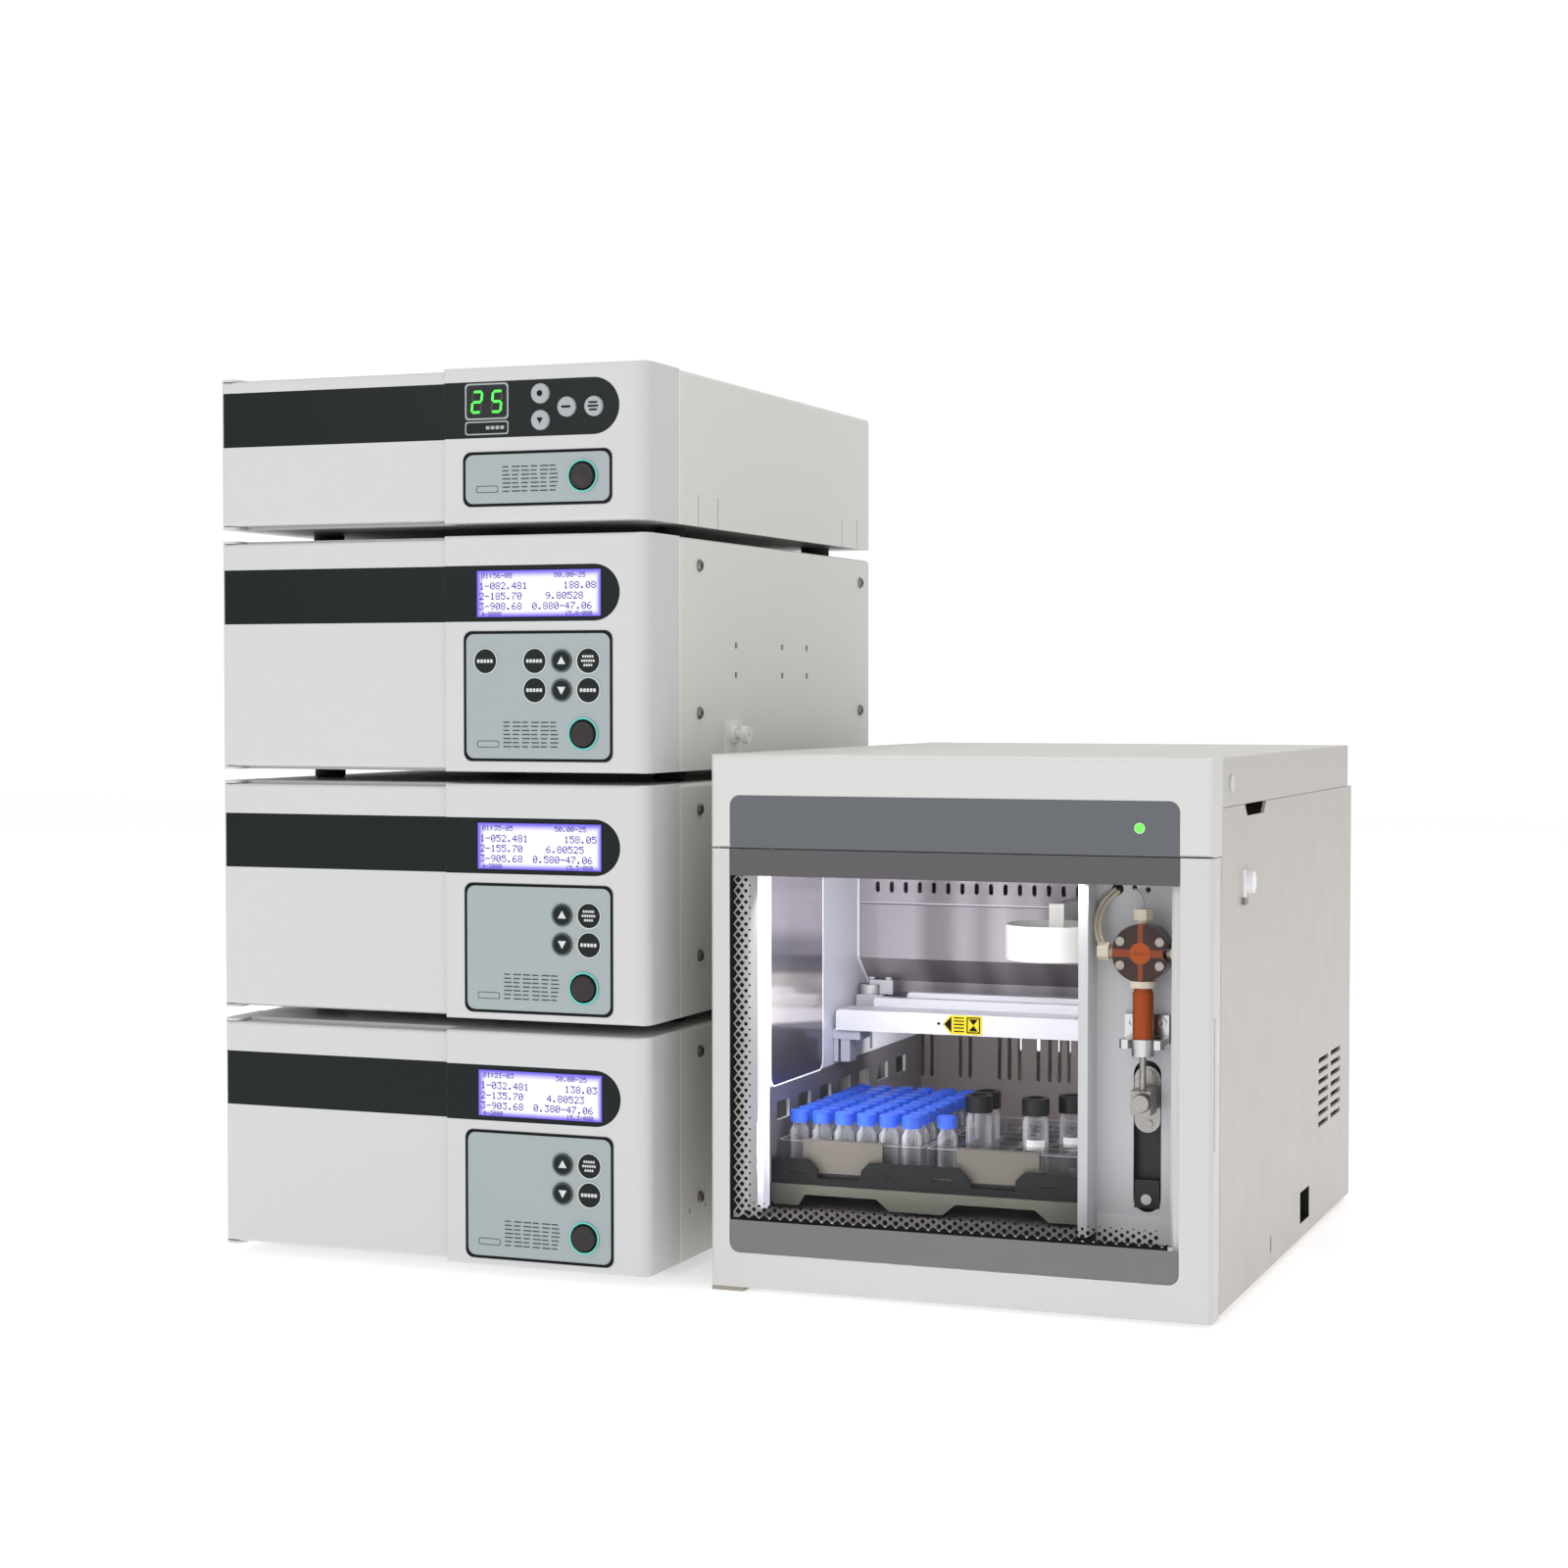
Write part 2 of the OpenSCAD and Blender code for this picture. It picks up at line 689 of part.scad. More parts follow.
// folded case: floor, sides and back, open in front and on top
module sampler_case() {
    h = skirt_z - seat - case_z;
    t = smp_sheet;
    color("#c3beb7") in_sampler() difference() {
        union() {
            difference() {
                translate([0, case_y, case_z]) cube([smp_w, smp_d - case_y, h]);
                translate([t, case_y - 1, case_z + t]) cube([smp_w - 2 * t, smp_d - t - case_y + 1, h]);
            }
            // front flanges beside the chamber and the valve panel
            translate([0, case_y, case_z]) cube([liner_x - liner_t - seat, t, h]);
            translate([panel_x1 + 0.5, case_y, case_z]) cube([smp_w - panel_x1 - 0.5, t, h]);
            // sill below the chamber
            translate([0, case_y, case_z]) cube([smp_w, t, liner_z - case_z - seat]);
            // pocket of the switch, low on the right side
            translate([smp_w - 14, switch_y - 2, switch_z - 2]) cube([14, switch_l + 4, switch_h + 4]);
            // white knob on its small bracket, high on the right side
            rod_x(smp_w - eps, 84, 235, 6.2, knob_out + eps);
            translate([smp_w - eps, 73, 227]) cube([1.2, 5.6, 15.5]);
            translate([smp_w - eps, 71, 223]) cube([2.2, 8, 4.2]);
            // ledge behind the lid
            translate([0, lid_y1 + seat, case_z + h - t]) cube([smp_w, smp_d - lid_y1 - seat, t]);
        }
        // room for the hood
        translate([-1, 0, hood_z - seat]) cube([smp_w + 2, hood_d + seat, hood_h]);
        side_vents();
        grip_notch();
        // catch hole low on the right side
        translate([smp_w - t - 1, 156.5, 12.5]) cube([t + 2, 3.6, 9.5]);
        translate([smp_w - 12, switch_y, switch_z]) cube([13, switch_l, switch_h]);
        for (k = [0:13])
            translate([60 + 12 * k, smp_d - t - 1, 90]) cube([5, t + 2, 60]);
    }
}

// two columns of vent slots low on the right side
module side_vents()
    for (k = [0:vent_rows - 1], y = vent_y)
        translate([smp_w - smp_sheet - 1, y, vent_top - vent_pitch * k]) cube([smp_sheet + 2, 34, 3.2]);

// finger notch under the lid's edge
module grip_notch()
    along_x(smp_w - smp_sheet - 1, smp_sheet + 2) translate([80, skirt_z])
        polygon([[0, 1], [0, -1], [6, -7], [52, -7], [58, -1], [58, 1]]);

// lid with its skirt, and the hood above the door
module sampler_lid() {
    w = 3;
    r = 3;
    color("whitesmoke") in_sampler() {
        difference() {
            union() {
                intersection() {
                    along_x(0, smp_w) translate([0, hood_z]) nose(0, hood_d, hood_h, r);
                    translate([0, 0, hood_z]) linear_extrude(hood_h) {
                        translate([r, 0]) square([smp_w - 2 * r, hood_d]);
                        translate([0, r]) square([smp_w, hood_d]);
                        for (x = [r, smp_w - r]) translate([x, r]) circle(r);
                    }
                }
                translate([0, 2 * r, skirt_z]) cube([smp_w, lid_y1 - 2 * r, skirt_h]);
            }
            translate([w, w, hood_z + w]) cube([smp_w - 2 * w, hood_d - w + eps, hood_h - 2 * w]);
            translate([w, hood_d - eps, skirt_z - 1]) cube([smp_w - 2 * w, lid_y1 - hood_d - w, skirt_h - w + 1]);
            // recess of the grey band
            translate([stile_l, 0, hood_z - 1]) upright(-1, 1.5)
                round_top(glass_x1 - stile_l, 31, 6);
            rod_x(smp_w - w - 1, 43, smp_h - 14.5, 5, w + 2);
        }
        rod_y(249.7, hood_z + 15.2, 3, -0.4, 6);
        rod_x(smp_w - w - 3, 43, smp_h - 14.5, 4.8, w + 4);
        translate([smp_pin, smp_pin, hood_z - 6]) cylinder(r = smp_pin_r, h = 6 + eps);
    }
}

// front plan of the sampler's door
module door_plan() {
    r = 3;
    translate([r, 0]) square([smp_w - 2 * r, smp_door_t]);
    translate([0, r]) square([smp_w, smp_door_t - r]);
    for (x = [r, smp_w - r]) translate([x, r]) circle(r);
}

// door frame around the glass
module sampler_door() {
    h = door_z1 - door_z0;
    win_w = glass_x1 - stile_l;
    lap = 10;
    color("whitesmoke") in_sampler() difference() {
        translate([0, 0, door_z0]) linear_extrude(h) door_plan();
        // seat of the glass, open at the top
        translate([stile_l - fit, 0, glass_z0 - fit]) upright(-1, glass_y + glass_t + 1)
            round_bottom(win_w + 2 * fit, h, 6);
        // window behind the glass
        translate([stile_l + lap, 0, glass_z0 + 17]) upright(-1, smp_door_t + 2)
            square([win_w - 2 * lap + 6, door_z1 - glass_z0 - 32]);
        // finger groove down the right edge
        translate([smp_w - 1.2, 3.5, 95]) cube([2, 2.6, 72]);
        for (z = [door_z0 - 1, door_z1 - 7]) translate([smp_pin, smp_pin, z])
            cylinder(r = smp_pin_r + pin_fit, h = 8);
    }
}

// glass panel of the door
module door_glass() {
    color("lightgray", 0.4) in_sampler() translate([stile_l, 0, glass_z0]) upright(glass_y, glass_t)
        round_bottom(glass_x1 - stile_l, door_z1 - glass_z0, 6);
}

// feet, the front left one with the door's lower hinge pin
module sampler_feet() {
    color("#bdb7ac") in_sampler() {
        for (p = [[smp_w - 26, 24], [12, smp_d - 40], [smp_w - 26, smp_d - 40]])
            translate([p[0], p[1], 0]) linear_extrude(case_z) rrect(15, 22, 4);
        translate([0.5, 1, 0]) cube([19, case_y + 20, door_z0 - seat]);
        translate([0.5, case_y + seat, 0]) cube([19, 20, case_z]);
        translate([smp_pin, smp_pin, 1]) cylinder(r = smp_pin_r, h = door_z0 + 4);
    }
}

// ---------------------------------------------------------------- sampler chamber

// air duct over the back of the chamber, y-z outline from its face
module duct(d) {
    top = liner_top - liner_t;
    polygon([[air_y + d, top], [air_y + d, 173 + d], [air_y + 18 + d, 157 + d], [air_y + 18 + d, 141 + d],
        [air_y + 50 + d, 129 + d], [liner_back, 129 + d], [liner_back, top]]);
}

// stainless chamber: walls, air duct, light bar, slide rails
module chamber_liner() {
    t = liner_t;
    w = post_x - liner_x - 0.5;
    color("silver") in_sampler() difference() {
        union() {
            translate([liner_x - t, case_y + 3, liner_z]) cube([t, liner_back - case_y - 3 + t, liner_top - liner_z]);
            translate([liner_x - t, case_y + 3, liner_z]) cube([w + t, liner_back - case_y - 3 + t, t]);
            translate([liner_x - t, case_y + 3, liner_top - t]) cube([w + t, liner_back - case_y - 3 + t, t]);
            translate([liner_x - t, liner_back, liner_z]) cube([w + t, t, liner_top - liner_z]);
            // air duct
            along_x(liner_x - eps, w) difference() {
                duct(0);
                duct(t);
            }
            // light bar up the left front edge
            translate([liner_x - eps, 26, liner_z + t + 3]) cube([light_w, 8, liner_top - liner_z - 2 * t - 6]);
            // rails under the tray carriage
            for (x = rail_x) translate([x, rail_y, liner_z + t - eps]) cube([6, liner_back - rail_y - 2, rail_h]);
            // thicker lower part of the left wall
            along_x(liner_x - eps, 0.9) translate([46, liner_z + t - eps])
                square([liner_back - 46 + eps, ledge_z - 0.3 - liner_z - t]);
            // raised panel on the left wall, with a round lower corner
            along_x(liner_x - eps, 0.6) translate([51, ledge_z]) panel_outline(88, liner_top - t - ledge_z - 2);
        }
        // outlet slots across the duct's face
        for (k = [0:17]) translate([liner_x + 12 + 9.35 * k, 0, 214.6]) upright(air_y - 1, t + 3)
            rrect(2.8, 7, 1.39);
        // inlet slots in the back wall
        for (x = inlet_slots) translate([x, 0, 81.5]) upright(liner_back - 1, t + 2) rrect(2.6, 48, 1.29);
        // windows along the left wall
        for (k = [0:6]) translate([liner_x - t - 1, 61.5 + 36 * k, 89]) cube([t + 3, 21, 11]);
    }
}

// upright rectangle with one round lower corner
module panel_outline(l, h) {
    r = 9;
    translate([0, r]) square([l, h - r]);
    square([l - r, h]);
    translate([l - r, r]) circle(r);
}

// stepped white cover of the gantry's rail
module gantry_beam() {
    color("white") in_sampler() {
        beam_step(19.5, beam_y, 25, 145);
        beam_step(35.5, beam_y + 25, 9, 150.5);
        beam_step(54.5, beam_y + 34, beam_d - 34, 153.6);
        // rail for the needle carriage
        translate([rail_x0, beam_y + 25 - eps, beam_z]) cube([post_x - seat - rail_x0, beam_d - 25 + eps, 9]);
        // end bracket, and the shelf that carries the beam at the chamber's wall
        for (x = [16.6, 21.2]) translate([x, beam_y + 4, beam_z - 20]) cube([x > 20 ? 6 : 3, 12, 20 + eps]);
        translate([liner_x + seat, beam_y + 3, beam_z - 6]) cube([18, 20, 6 + eps]);
    }
}

// one step of the beam, from x to the chamber's right wall, up to z1
module beam_step(x, y, d, z1) {
    w = post_x - seat - x;
    h = z1 - beam_z;
    r = 2;
    translate([x, 0, beam_z]) upright(y - eps, d + eps) {
        square([w, h - r]);
        translate([r, 0]) square([w - r, h]);
        translate([r, h - r]) circle(r);
    }
}

// needle carriage: clamp disc with two screws, slide block and the needle
module needle_unit() {
    y = beam_y + beam_d + 9 + seat;
    z = beam_z + 17;
    color("silver") in_sampler() {
        translate([needle_x, y, z]) cylinder(r = 7.4, h = 7);
        translate([needle_x, y - 3, z + 1]) cube([15.6, 12, 9]);
        for (x = [0, 11]) translate([needle_x + x, y + 2, z + 6]) cylinder(r = 2.6, h = 5.5);
        // block that runs along the beam's rail
        translate([rail_x0 + 1, beam_y + beam_d + seat, beam_z + 1]) cube([18, 10, 17]);
        // brass gland and needle
        translate([needle_x, y, z - 3]) cylinder(r = 5, h = 3 + eps);
        translate([needle_x, y, z - 34]) cylinder(r = 0.8, h = 34);
    }
}

// white round dish hung from the duct on a bracket
module wash_dish() {
    color("white") in_sampler() translate([158, 158, 181]) {
        difference() {
            cylinder(r = 29, h = 21);
            translate([0, 0, 3]) cylinder(r = 27, h = 20);
        }
        translate([-3, 0, 2]) cube([9, 2, 31]);
        translate([-3, 0, 24]) cube([9, air_y - 158, 9]);
    }
}

// ---------------------------------------------------------------- tray, racks and vials

// steel carriage under the tray, with a cut-out front skirt
module tray_carriage() {
    low = 10;
    mid = skirt_mid;
    w = pan_x1 - pan_x0;
    color("#9aa095") in_sampler() {
        translate([pan_x0, pan_y, pan_z]) cube([w, pan_l, pan_t]);
        translate([pan_x0, 0, pan_z]) upright(pan_y, 1.5) polygon([[0, pan_t], [0, -low + 2], [2, -low],
            [17, -low], [21, -mid], [65, -mid], [73, -low], [105, -low], [113, -mid], [160, -mid],
            [168, -low], [w, -low], [w, pan_t]]);
        for (x = rail_x) translate([x - 1, pan_y + 1, pan_z - mid + 0.2])
            cube([8, pan_l - 1, mid - 0.2 + eps]);
    }
}

// black tray with raised tabs along its front
module vial_tray() {
    w = pan_x1 - pan_x0;
    up = 15;
    color("#2b2b2e") in_sampler() {
        translate([pan_x0, pan_y + 2, tray_z]) cube([w, pan_l - 2, tray_t]);
        translate([pan_x0, 0, tray_z]) upright(pan_y + 2, 2.5) difference() {
            polygon([[0, 0], [0, up], [22, up], [28, up - 6], [28, 4], [55, 4], [55, up - 5], [60, up],
                [114, up], [121, up - 7], [121, 4], [148, 4], [148, up - 5], [153, up], [w, up], [w, 0]]);
            for (x = [10, 70, 98, 162]) translate([x, 7]) square([12, 1.6]);
        }
        translate([pan_x0, pan_y + 4, tray_z]) cube([0.7, pan_l - 4, 9]);
        translate([pan_x1 - 0.7, pan_y + 4, tray_z]) cube([0.7, pan_l - 4, 9]);
    }
}

// a clear rack's block with one round pocket for each of its places
module rack(x, places) {
    in_sampler() difference() {
        translate([x, rack_y, rack_z]) linear_extrude(rack_h) rrect(rack_w, rack_l, 2);
        for (p = places) translate([p[0], p[1], hole_z]) cylinder(r = p[2], h = rack_h + 1);
        // hollow from below, between the walls
        translate([x + 2, rack_y + 2, rack_z - 1]) cube([rack_w - 4, rack_l - 4, 1.6]);
    }
}

module rack_left() color("lightblue", 0.4) rack(rack_lx, left_places);
module rack_right() color("lightblue", 0.4) rack(rack_rx, right_places);

// steel tag plates hooked over the racks' front edges
module rack_tags() {
    color("#a6a79c") in_sampler() for (x = [rack_lx + 16, rack_rx + 19]) {
        translate([x, 0, rack_z + rack_h]) upright(rack_y - 1.5, 1.2)
            polygon([[0, 1.2], [0, -10], [8, -18], [41, -18], [49, -10], [49, 1.2]]);
        translate([x, rack_y - 1.5, rack_z + rack_h]) cube([49, 5, 1.2]);
    }
}

// glass bottle with a neck: radius r, height h, neck radius n
module bottle(r, h, n) rotate_extrude() polygon([[0, 0], [r - 0.8, 0], [r, 0.8], [r, h - 9.5], [n, h - 6.5],
    [n, h], [n - 1, h], [n - 1, h - 6.2], [r - 1.1, h - 9.6], [r - 1.1, 1.5], [0, 1.5]]);

// screw cap over a neck of radius n: radius r, height h, neck depth d
module cap(r, h, n, d) rotate_extrude() polygon([[n + 0.15, 0], [r, 0], [r, h - 0.6], [r - 0.6, h], [0, h],
    [0, d + 0.1], [n + 0.15, d + 0.1]]);

module at_small() {
    for (p = left_places) translate([p[0], p[1], hole_z]) children();
    translate([lone_x, lone_y, hole_z]) children();
}

module at_big() for (v = big_vials)
    translate([big_x + v[0] * big_pitch, big_y + v[1] * big_pitch, hole_z]) children();

module vials() {
    color("aliceblue", 0.5) in_sampler() {
        at_small() bottle(vial_r, vial_h, neck_r);
        at_big() bottle(big_r, big_h, big_neck_r);
    }
}

module blue_caps()
    color("#3f6df0") in_sampler() at_small() translate([0, 0, vial_h - 4.5]) cap(5.6, cap_h, neck_r, 4.5);

module black_caps()
    color("#2c2a29") in_sampler() at_big() translate([0, 0, big_h - 5.5]) difference() {
        cap(8, big_cap_h, big_neck_r, 5.5);
        translate([0, 0, big_cap_h - 1.2]) cylinder(r = 5, h = 2);
    }

// ---------------------------------------------------------------- syringe valve

// painted panel of the valve's column, bent from one sheet, with the carriage slot
module valve_panel() {
    t = liner_t;
    in_x = post_x + post_w - t;
    fold_z = 224.3;
    chan_w = slot_w + 6;
    chan_d = 7;
    color("#b9c0c8") in_sampler() difference() {
        union() {
            translate([0, 0, liner_z]) linear_extrude(liner_top - liner_z) {
                translate([post_x, post_y]) square([t, liner_back - post_y]);
                translate([post_x, post_y]) square([post_w, t]);
                translate([in_x, post_y]) square([t, panel_y - post_y + t]);
                translate([in_x, panel_y]) square([panel_x1 - in_x, t]);
                translate([panel_x1 - t, case_y + smp_sheet + seat])
                    square([t, panel_y - case_y - smp_sheet - seat + t]);
            }
            // upper strip of the panel, folded forward
            translate([in_x + t - eps, panel_y - 1.5, fold_z])
                cube([panel_x1 - in_x - 2 * t + 2 * eps, 1.5 + eps, liner_top - fold_z]);
            // closed channel behind the slot
            difference() {
                translate([slot_x - chan_w / 2, panel_y + t - eps, slot_z0 - 3])
                    cube([chan_w, chan_d, slot_z1 - slot_z0 + 6]);
                translate([slot_x - chan_w / 2 + t, panel_y, slot_z0 - 3 + t])
                    cube([chan_w - 2 * t, chan_d, slot_z1 - slot_z0 + 6 - 2 * t]);
            }
        }
        translate([slot_x - slot_w / 2, 0, slot_z0]) upright(panel_y - 1, t + 2)
            rrect(slot_w, slot_z1 - slot_z0, slot_w / 2 - eps);
        rod_y(hole_x, hole_up, hole_r, panel_y - 4, 8);
        rod_y(slot_x + 0.3, hole_up, 1.5, panel_y - 4, 8);
        rod_y(valve_x - 8.6, hole_up + 1, 1.4, panel_y - 4, 8);
    }
    slot_stop();
}

// amber valve head with its screws and the neck that holds it to the panel
module valve_head() {
    screw_dx = 11.1;
    screw_dz = 6.6;
    back = valve_y + valve_l;
    color("#6a3f30", 0.8) in_sampler() difference() {
        union() {
            rod_y(valve_x, valve_z, valve_r, valve_y, valve_l);
            rod_y(valve_x, valve_z, 12, back - eps, panel_y - back);
            for (x = [-screw_dx, screw_dx], z = [-screw_dz, screw_dz])
                rod_y(valve_x + x, valve_z + z, 2.5, valve_y - 1.5, 2);
        }
        rod_y(valve_x, valve_z, rotor_r + pin_fit, valve_y - 2, 10);
        // notch of the right fitting, and the flat over the collar
        rod_y(valve_x + valve_r + 1, valve_z, valve_notch, valve_y - 1, valve_l + 2);
        translate([valve_x - valve_r, valve_y - 1, valve_z - valve_r - 1])
            cube([2 * valve_r, valve_l + 2, 1.8]);
    }
}

// rotor that turns in the valve head
module valve_rotor() {
    color("#c0561f") in_sampler() difference() {
        rod_y(valve_x, valve_z, rotor_r, valve_y - 0.4, 8);
        translate([valve_x - 3.4, valve_y - 1, valve_z - 0.6]) cube([6.8, 1.2, 1.2]);
    }
}

// amber syringe barrel, stepped in under its collar
module syringe_barrel() {
    step_h = 2.6;
    color("#b5591a", 0.8) in_sampler() translate([valve_x, valve_axis_y, barrel_z0]) difference() {
        union() {
            cylinder(r = barrel_r, h = barrel_l - step_h);
            cylinder(r = barrel_r - 0.7, h = barrel_l);
        }
        translate([0, 0, -1]) cylinder(r = barrel_r - barrel_wall, h = barrel_l - 0.5);
    }
}

// clamp under the barrel: bracket on the panel, ring, lock nut and two hexagon nuts
module syringe_clamp() {
    z1 = barrel_z0 - seat / 3;
    ring_h = 5;
    plate_w = 25.2;
    plate_h = 12;
    plate_x = valve_x - 13.4;
    screws = [plate_x + 4.2, plate_x + plate_w - 4.3];
    screw_up = barrel_z0 + 7.6;
    color("silver") in_sampler() difference() {
        union() {
            translate([plate_x, panel_y - 4, barrel_z0 + 0.1]) cube([plate_w, 4, plate_h]);
            translate([valve_x - 12.2, valve_axis_y, z1 - ring_h + 1])
                cube([23.4, panel_y - valve_axis_y, ring_h - 1.4]);
            translate([plate_x, panel_y - 4, z1 - ring_h + 1]) cube([plate_w, 4, ring_h]);
            translate([valve_x, valve_axis_y, z1 - ring_h]) cylinder(r = clamp_r, h = ring_h);
            translate([valve_x, valve_axis_y, z1 - clamp_h]) cylinder(r = clamp_r - 0.5, h = clamp_h);
            for (x = [-9.7, 8.7]) translate([valve_x + x, valve_axis_y, z1 - ring_h - 0.5])
                cylinder(r = 3.6, h = 5, $fn = 6);
            for (x = screws) rod_y(x, screw_up, 2.9, panel_y - 5.2, 2);
        }
        translate([valve_x, valve_axis_y, z1 - clamp_h - 1]) cylinder(r = rod_r + 0.3, h = clamp_h + 2);
        for (x = screws) translate([x, 0, screw_up]) upright(panel_y - 6, 2) circle(1.6, $fn = 6);
    }
}

// plunger, rod, block and the plate that runs in the slot
module plunger_carriage() {
    plate_r = slot_w / 2 - 0.4;
    tip = barrel_z1 - 2.2;
    plunger_h = 4;
    block_y = valve_axis_y - 6;
    color("gray") in_sampler() {
        translate([valve_x, valve_axis_y, block_z + block_h - eps])
            cylinder(r = rod_r, h = tip - plunger_h - block_z - block_h + 2 * eps);
        translate([valve_x, valve_axis_y, tip - plunger_h])
            cylinder(r = barrel_r - barrel_wall - 0.05, h = plunger_h);
        translate([valve_x - block_w / 2, block_y, block_z]) cube([block_w, block_l, block_h]);
        // domed hexagon screw in the block's face
        translate([valve_x + 1.2, block_y - 2.5, block_z + block_h / 2 + 0.5]) rotate([-90, 0, 0]) {
            rotate_extrude() intersection() {
                translate([0, -0.4]) circle(5.2);
                translate([0, -2.6]) square([5.2, 2.6]);
            }
            cylinder(r = 4.8, h = 2.5 + eps, $fn = 6);
        }
        translate([slot_x - plate_r + 2, block_y + block_l - eps, block_z + 1])
            cube([2 * plate_r - 4, panel_y - block_y - block_l + 2 * eps, block_h - 2]);
        translate([slot_x - plate_r, 0, slide_z0]) upright(panel_y, 1.5)
            rrect(2 * plate_r, slide_h, plate_r - eps);
        for (z = [5, slide_h - 4]) rod_y(slot_x + 1, slide_z0 + z, 2.1, panel_y - 1, 1 + eps);
    }
}

// hexagon fitting along x with its neck at the valve's side
module side_fitting(x, s, l) translate([x, valve_axis_y, valve_z]) rotate([0, 90 * s, 0]) {
    cylinder(r = 2.8, h = neck_w);
    translate([0, 0, neck_w - eps]) cylinder(r = 5, h = l, $fn = 6);
}

// beige fittings of the valve, the two tubes from the panel and a thin clear tube
module tubes_and_fittings() {
    y = valve_axis_y;
    top = valve_z + valve_r;
    fitting_x = valve_x - valve_r - 0.1;
    color("#bdb2a0") in_sampler() {
        // collar and top fitting
        translate([valve_x, y, barrel_z1 + 0.05]) cylinder(r = barrel_r + 1.6, h = collar_h - 0.3);
        translate([valve_x, y, top + 0.1]) cylinder(r = 3.2, h = 2.1);
        translate([valve_x, y, top + 2]) cylinder(r = 5.4, h = 6.2, $fn = 6);
        side_fitting(fitting_x, -1, 6.4);
        side_fitting(valve_x + valve_r - 2.4, 1, 3.6);
        // arched tubes, tilted back towards their hole in the panel
        translate([bend_x, y + 7, bend_z]) rotate([90 - bend_tilt, 0, 0])
            for (k = [0, 1]) rotate(126 - 3 * k) rotate_extrude(angle = 99)
                translate([bend_r - 2.4 * k, 0]) circle(tube_r, $fn = 24);
        translate([valve_x - thin_bend, y, top + 7.6]) rotate([35, 0, 0]) rotate_extrude(angle = 50)
            translate([thin_bend, 0]) circle(thin_r, $fn = 16);
    }
}

// black stop at the foot of the slot, with its screw
module slot_stop() {
    h = 15.6;
    color("#222222") in_sampler() {
        translate([slot_x - slot_w / 2 + 0.8, panel_y - 0.5, slot_z0 + 2.5]) cube([slot_w - 1.6, 8.5, h]);
        rod_y(slot_x, slot_z0 + 7.5, 3, panel_y - 2.5, 2 + eps);
    }
}

// ---------------------------------------------------------------- nodes

module oven_cover() unit_cover(OVEN);
module detector_cover() unit_cover(DETECTOR);
module upper_pump_cover() unit_cover(UPPER);
module lower_pump_cover() unit_cover(LOWER);
module oven_chassis() unit_chassis(OVEN);
module detector_chassis() unit_chassis(DETECTOR);
module upper_pump_chassis() unit_chassis(UPPER);
module lower_pump_chassis() unit_chassis(LOWER);
module oven_front() unit_front(OVEN);
module detector_front() unit_front(DETECTOR);
module upper_pump_front() unit_front(UPPER);
module lower_pump_front() unit_front(LOWER);
module oven_door() unit_door(OVEN);
module detector_door() unit_door(DETECTOR);
module upper_pump_door() unit_door(UPPER);
module lower_pump_door() unit_door(LOWER);
module oven_keypad() unit_keypad(OVEN);
module detector_keypad() unit_keypad(DETECTOR);
module upper_pump_keypad() unit_keypad(UPPER);
module lower_pump_keypad() unit_keypad(LOWER);
module oven_power_button() unit_power_button(OVEN);
module detector_power_button() unit_power_button(DETECTOR);
module upper_pump_power_button() unit_power_button(UPPER);
module lower_pump_power_button() unit_power_button(LOWER);
module oven_up_key() oven_key(0);
module oven_down_key() oven_key(1);
module oven_enter_key() oven_key(2);
module oven_run_key() oven_key(3);
module upper_pump_head() pump_head(UPPER);
module lower_pump_head() pump_head(LOWER);

oven_cover();
detector_cover();
upper_pump_cover();
lower_pump_cover();
oven_chassis();
detector_chassis();
upper_pump_chassis();
lower_pump_chassis();
oven_front();
detector_front();
upper_pump_front();
lower_pump_front();
oven_door();
detector_door();
upper_pump_door();
lower_pump_door();
oven_keypad();
detector_keypad();
upper_pump_keypad();
lower_pump_keypad();
oven_power_button();
detector_power_button();
upper_pump_power_button();
lower_pump_power_button();
oven_up_key();
oven_down_key();
oven_enter_key();
oven_run_key();
displays();
module_feet();
cover_screws();
drain_fitting();
column_block();
flow_cell();
upper_pump_head();
lower_pump_head();
sampler_case();
sampler_lid();
sampler_door();
door_glass();
chamber_liner();
tray_carriage();
vial_tray();
rack_left();
rack_right();
rack_tags();
vials();
blue_caps();
black_caps();
gantry_beam();
needle_unit();
wash_dish();
valve_panel();
valve_head();
valve_rotor();
syringe_barrel();
syringe_clamp();
plunger_carriage();
tubes_and_fittings();
sampler_feet();
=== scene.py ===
"""Looks of a liquid chromatography system: a stack of four modules beside a vial sampler.

The exact model gives every solid its place. This lesson adds light, a camera, finishes and
the thin printed and lit things that a solid model leaves out. All lengths are in metres.
"""

# %% [markdown]
# # Dressing an exact model
# The frame is loaded first and never moved. Each cell then gives a finish to its solids, or
# adds a thin piece that rides on one of them.

# %% Load the frame
import math

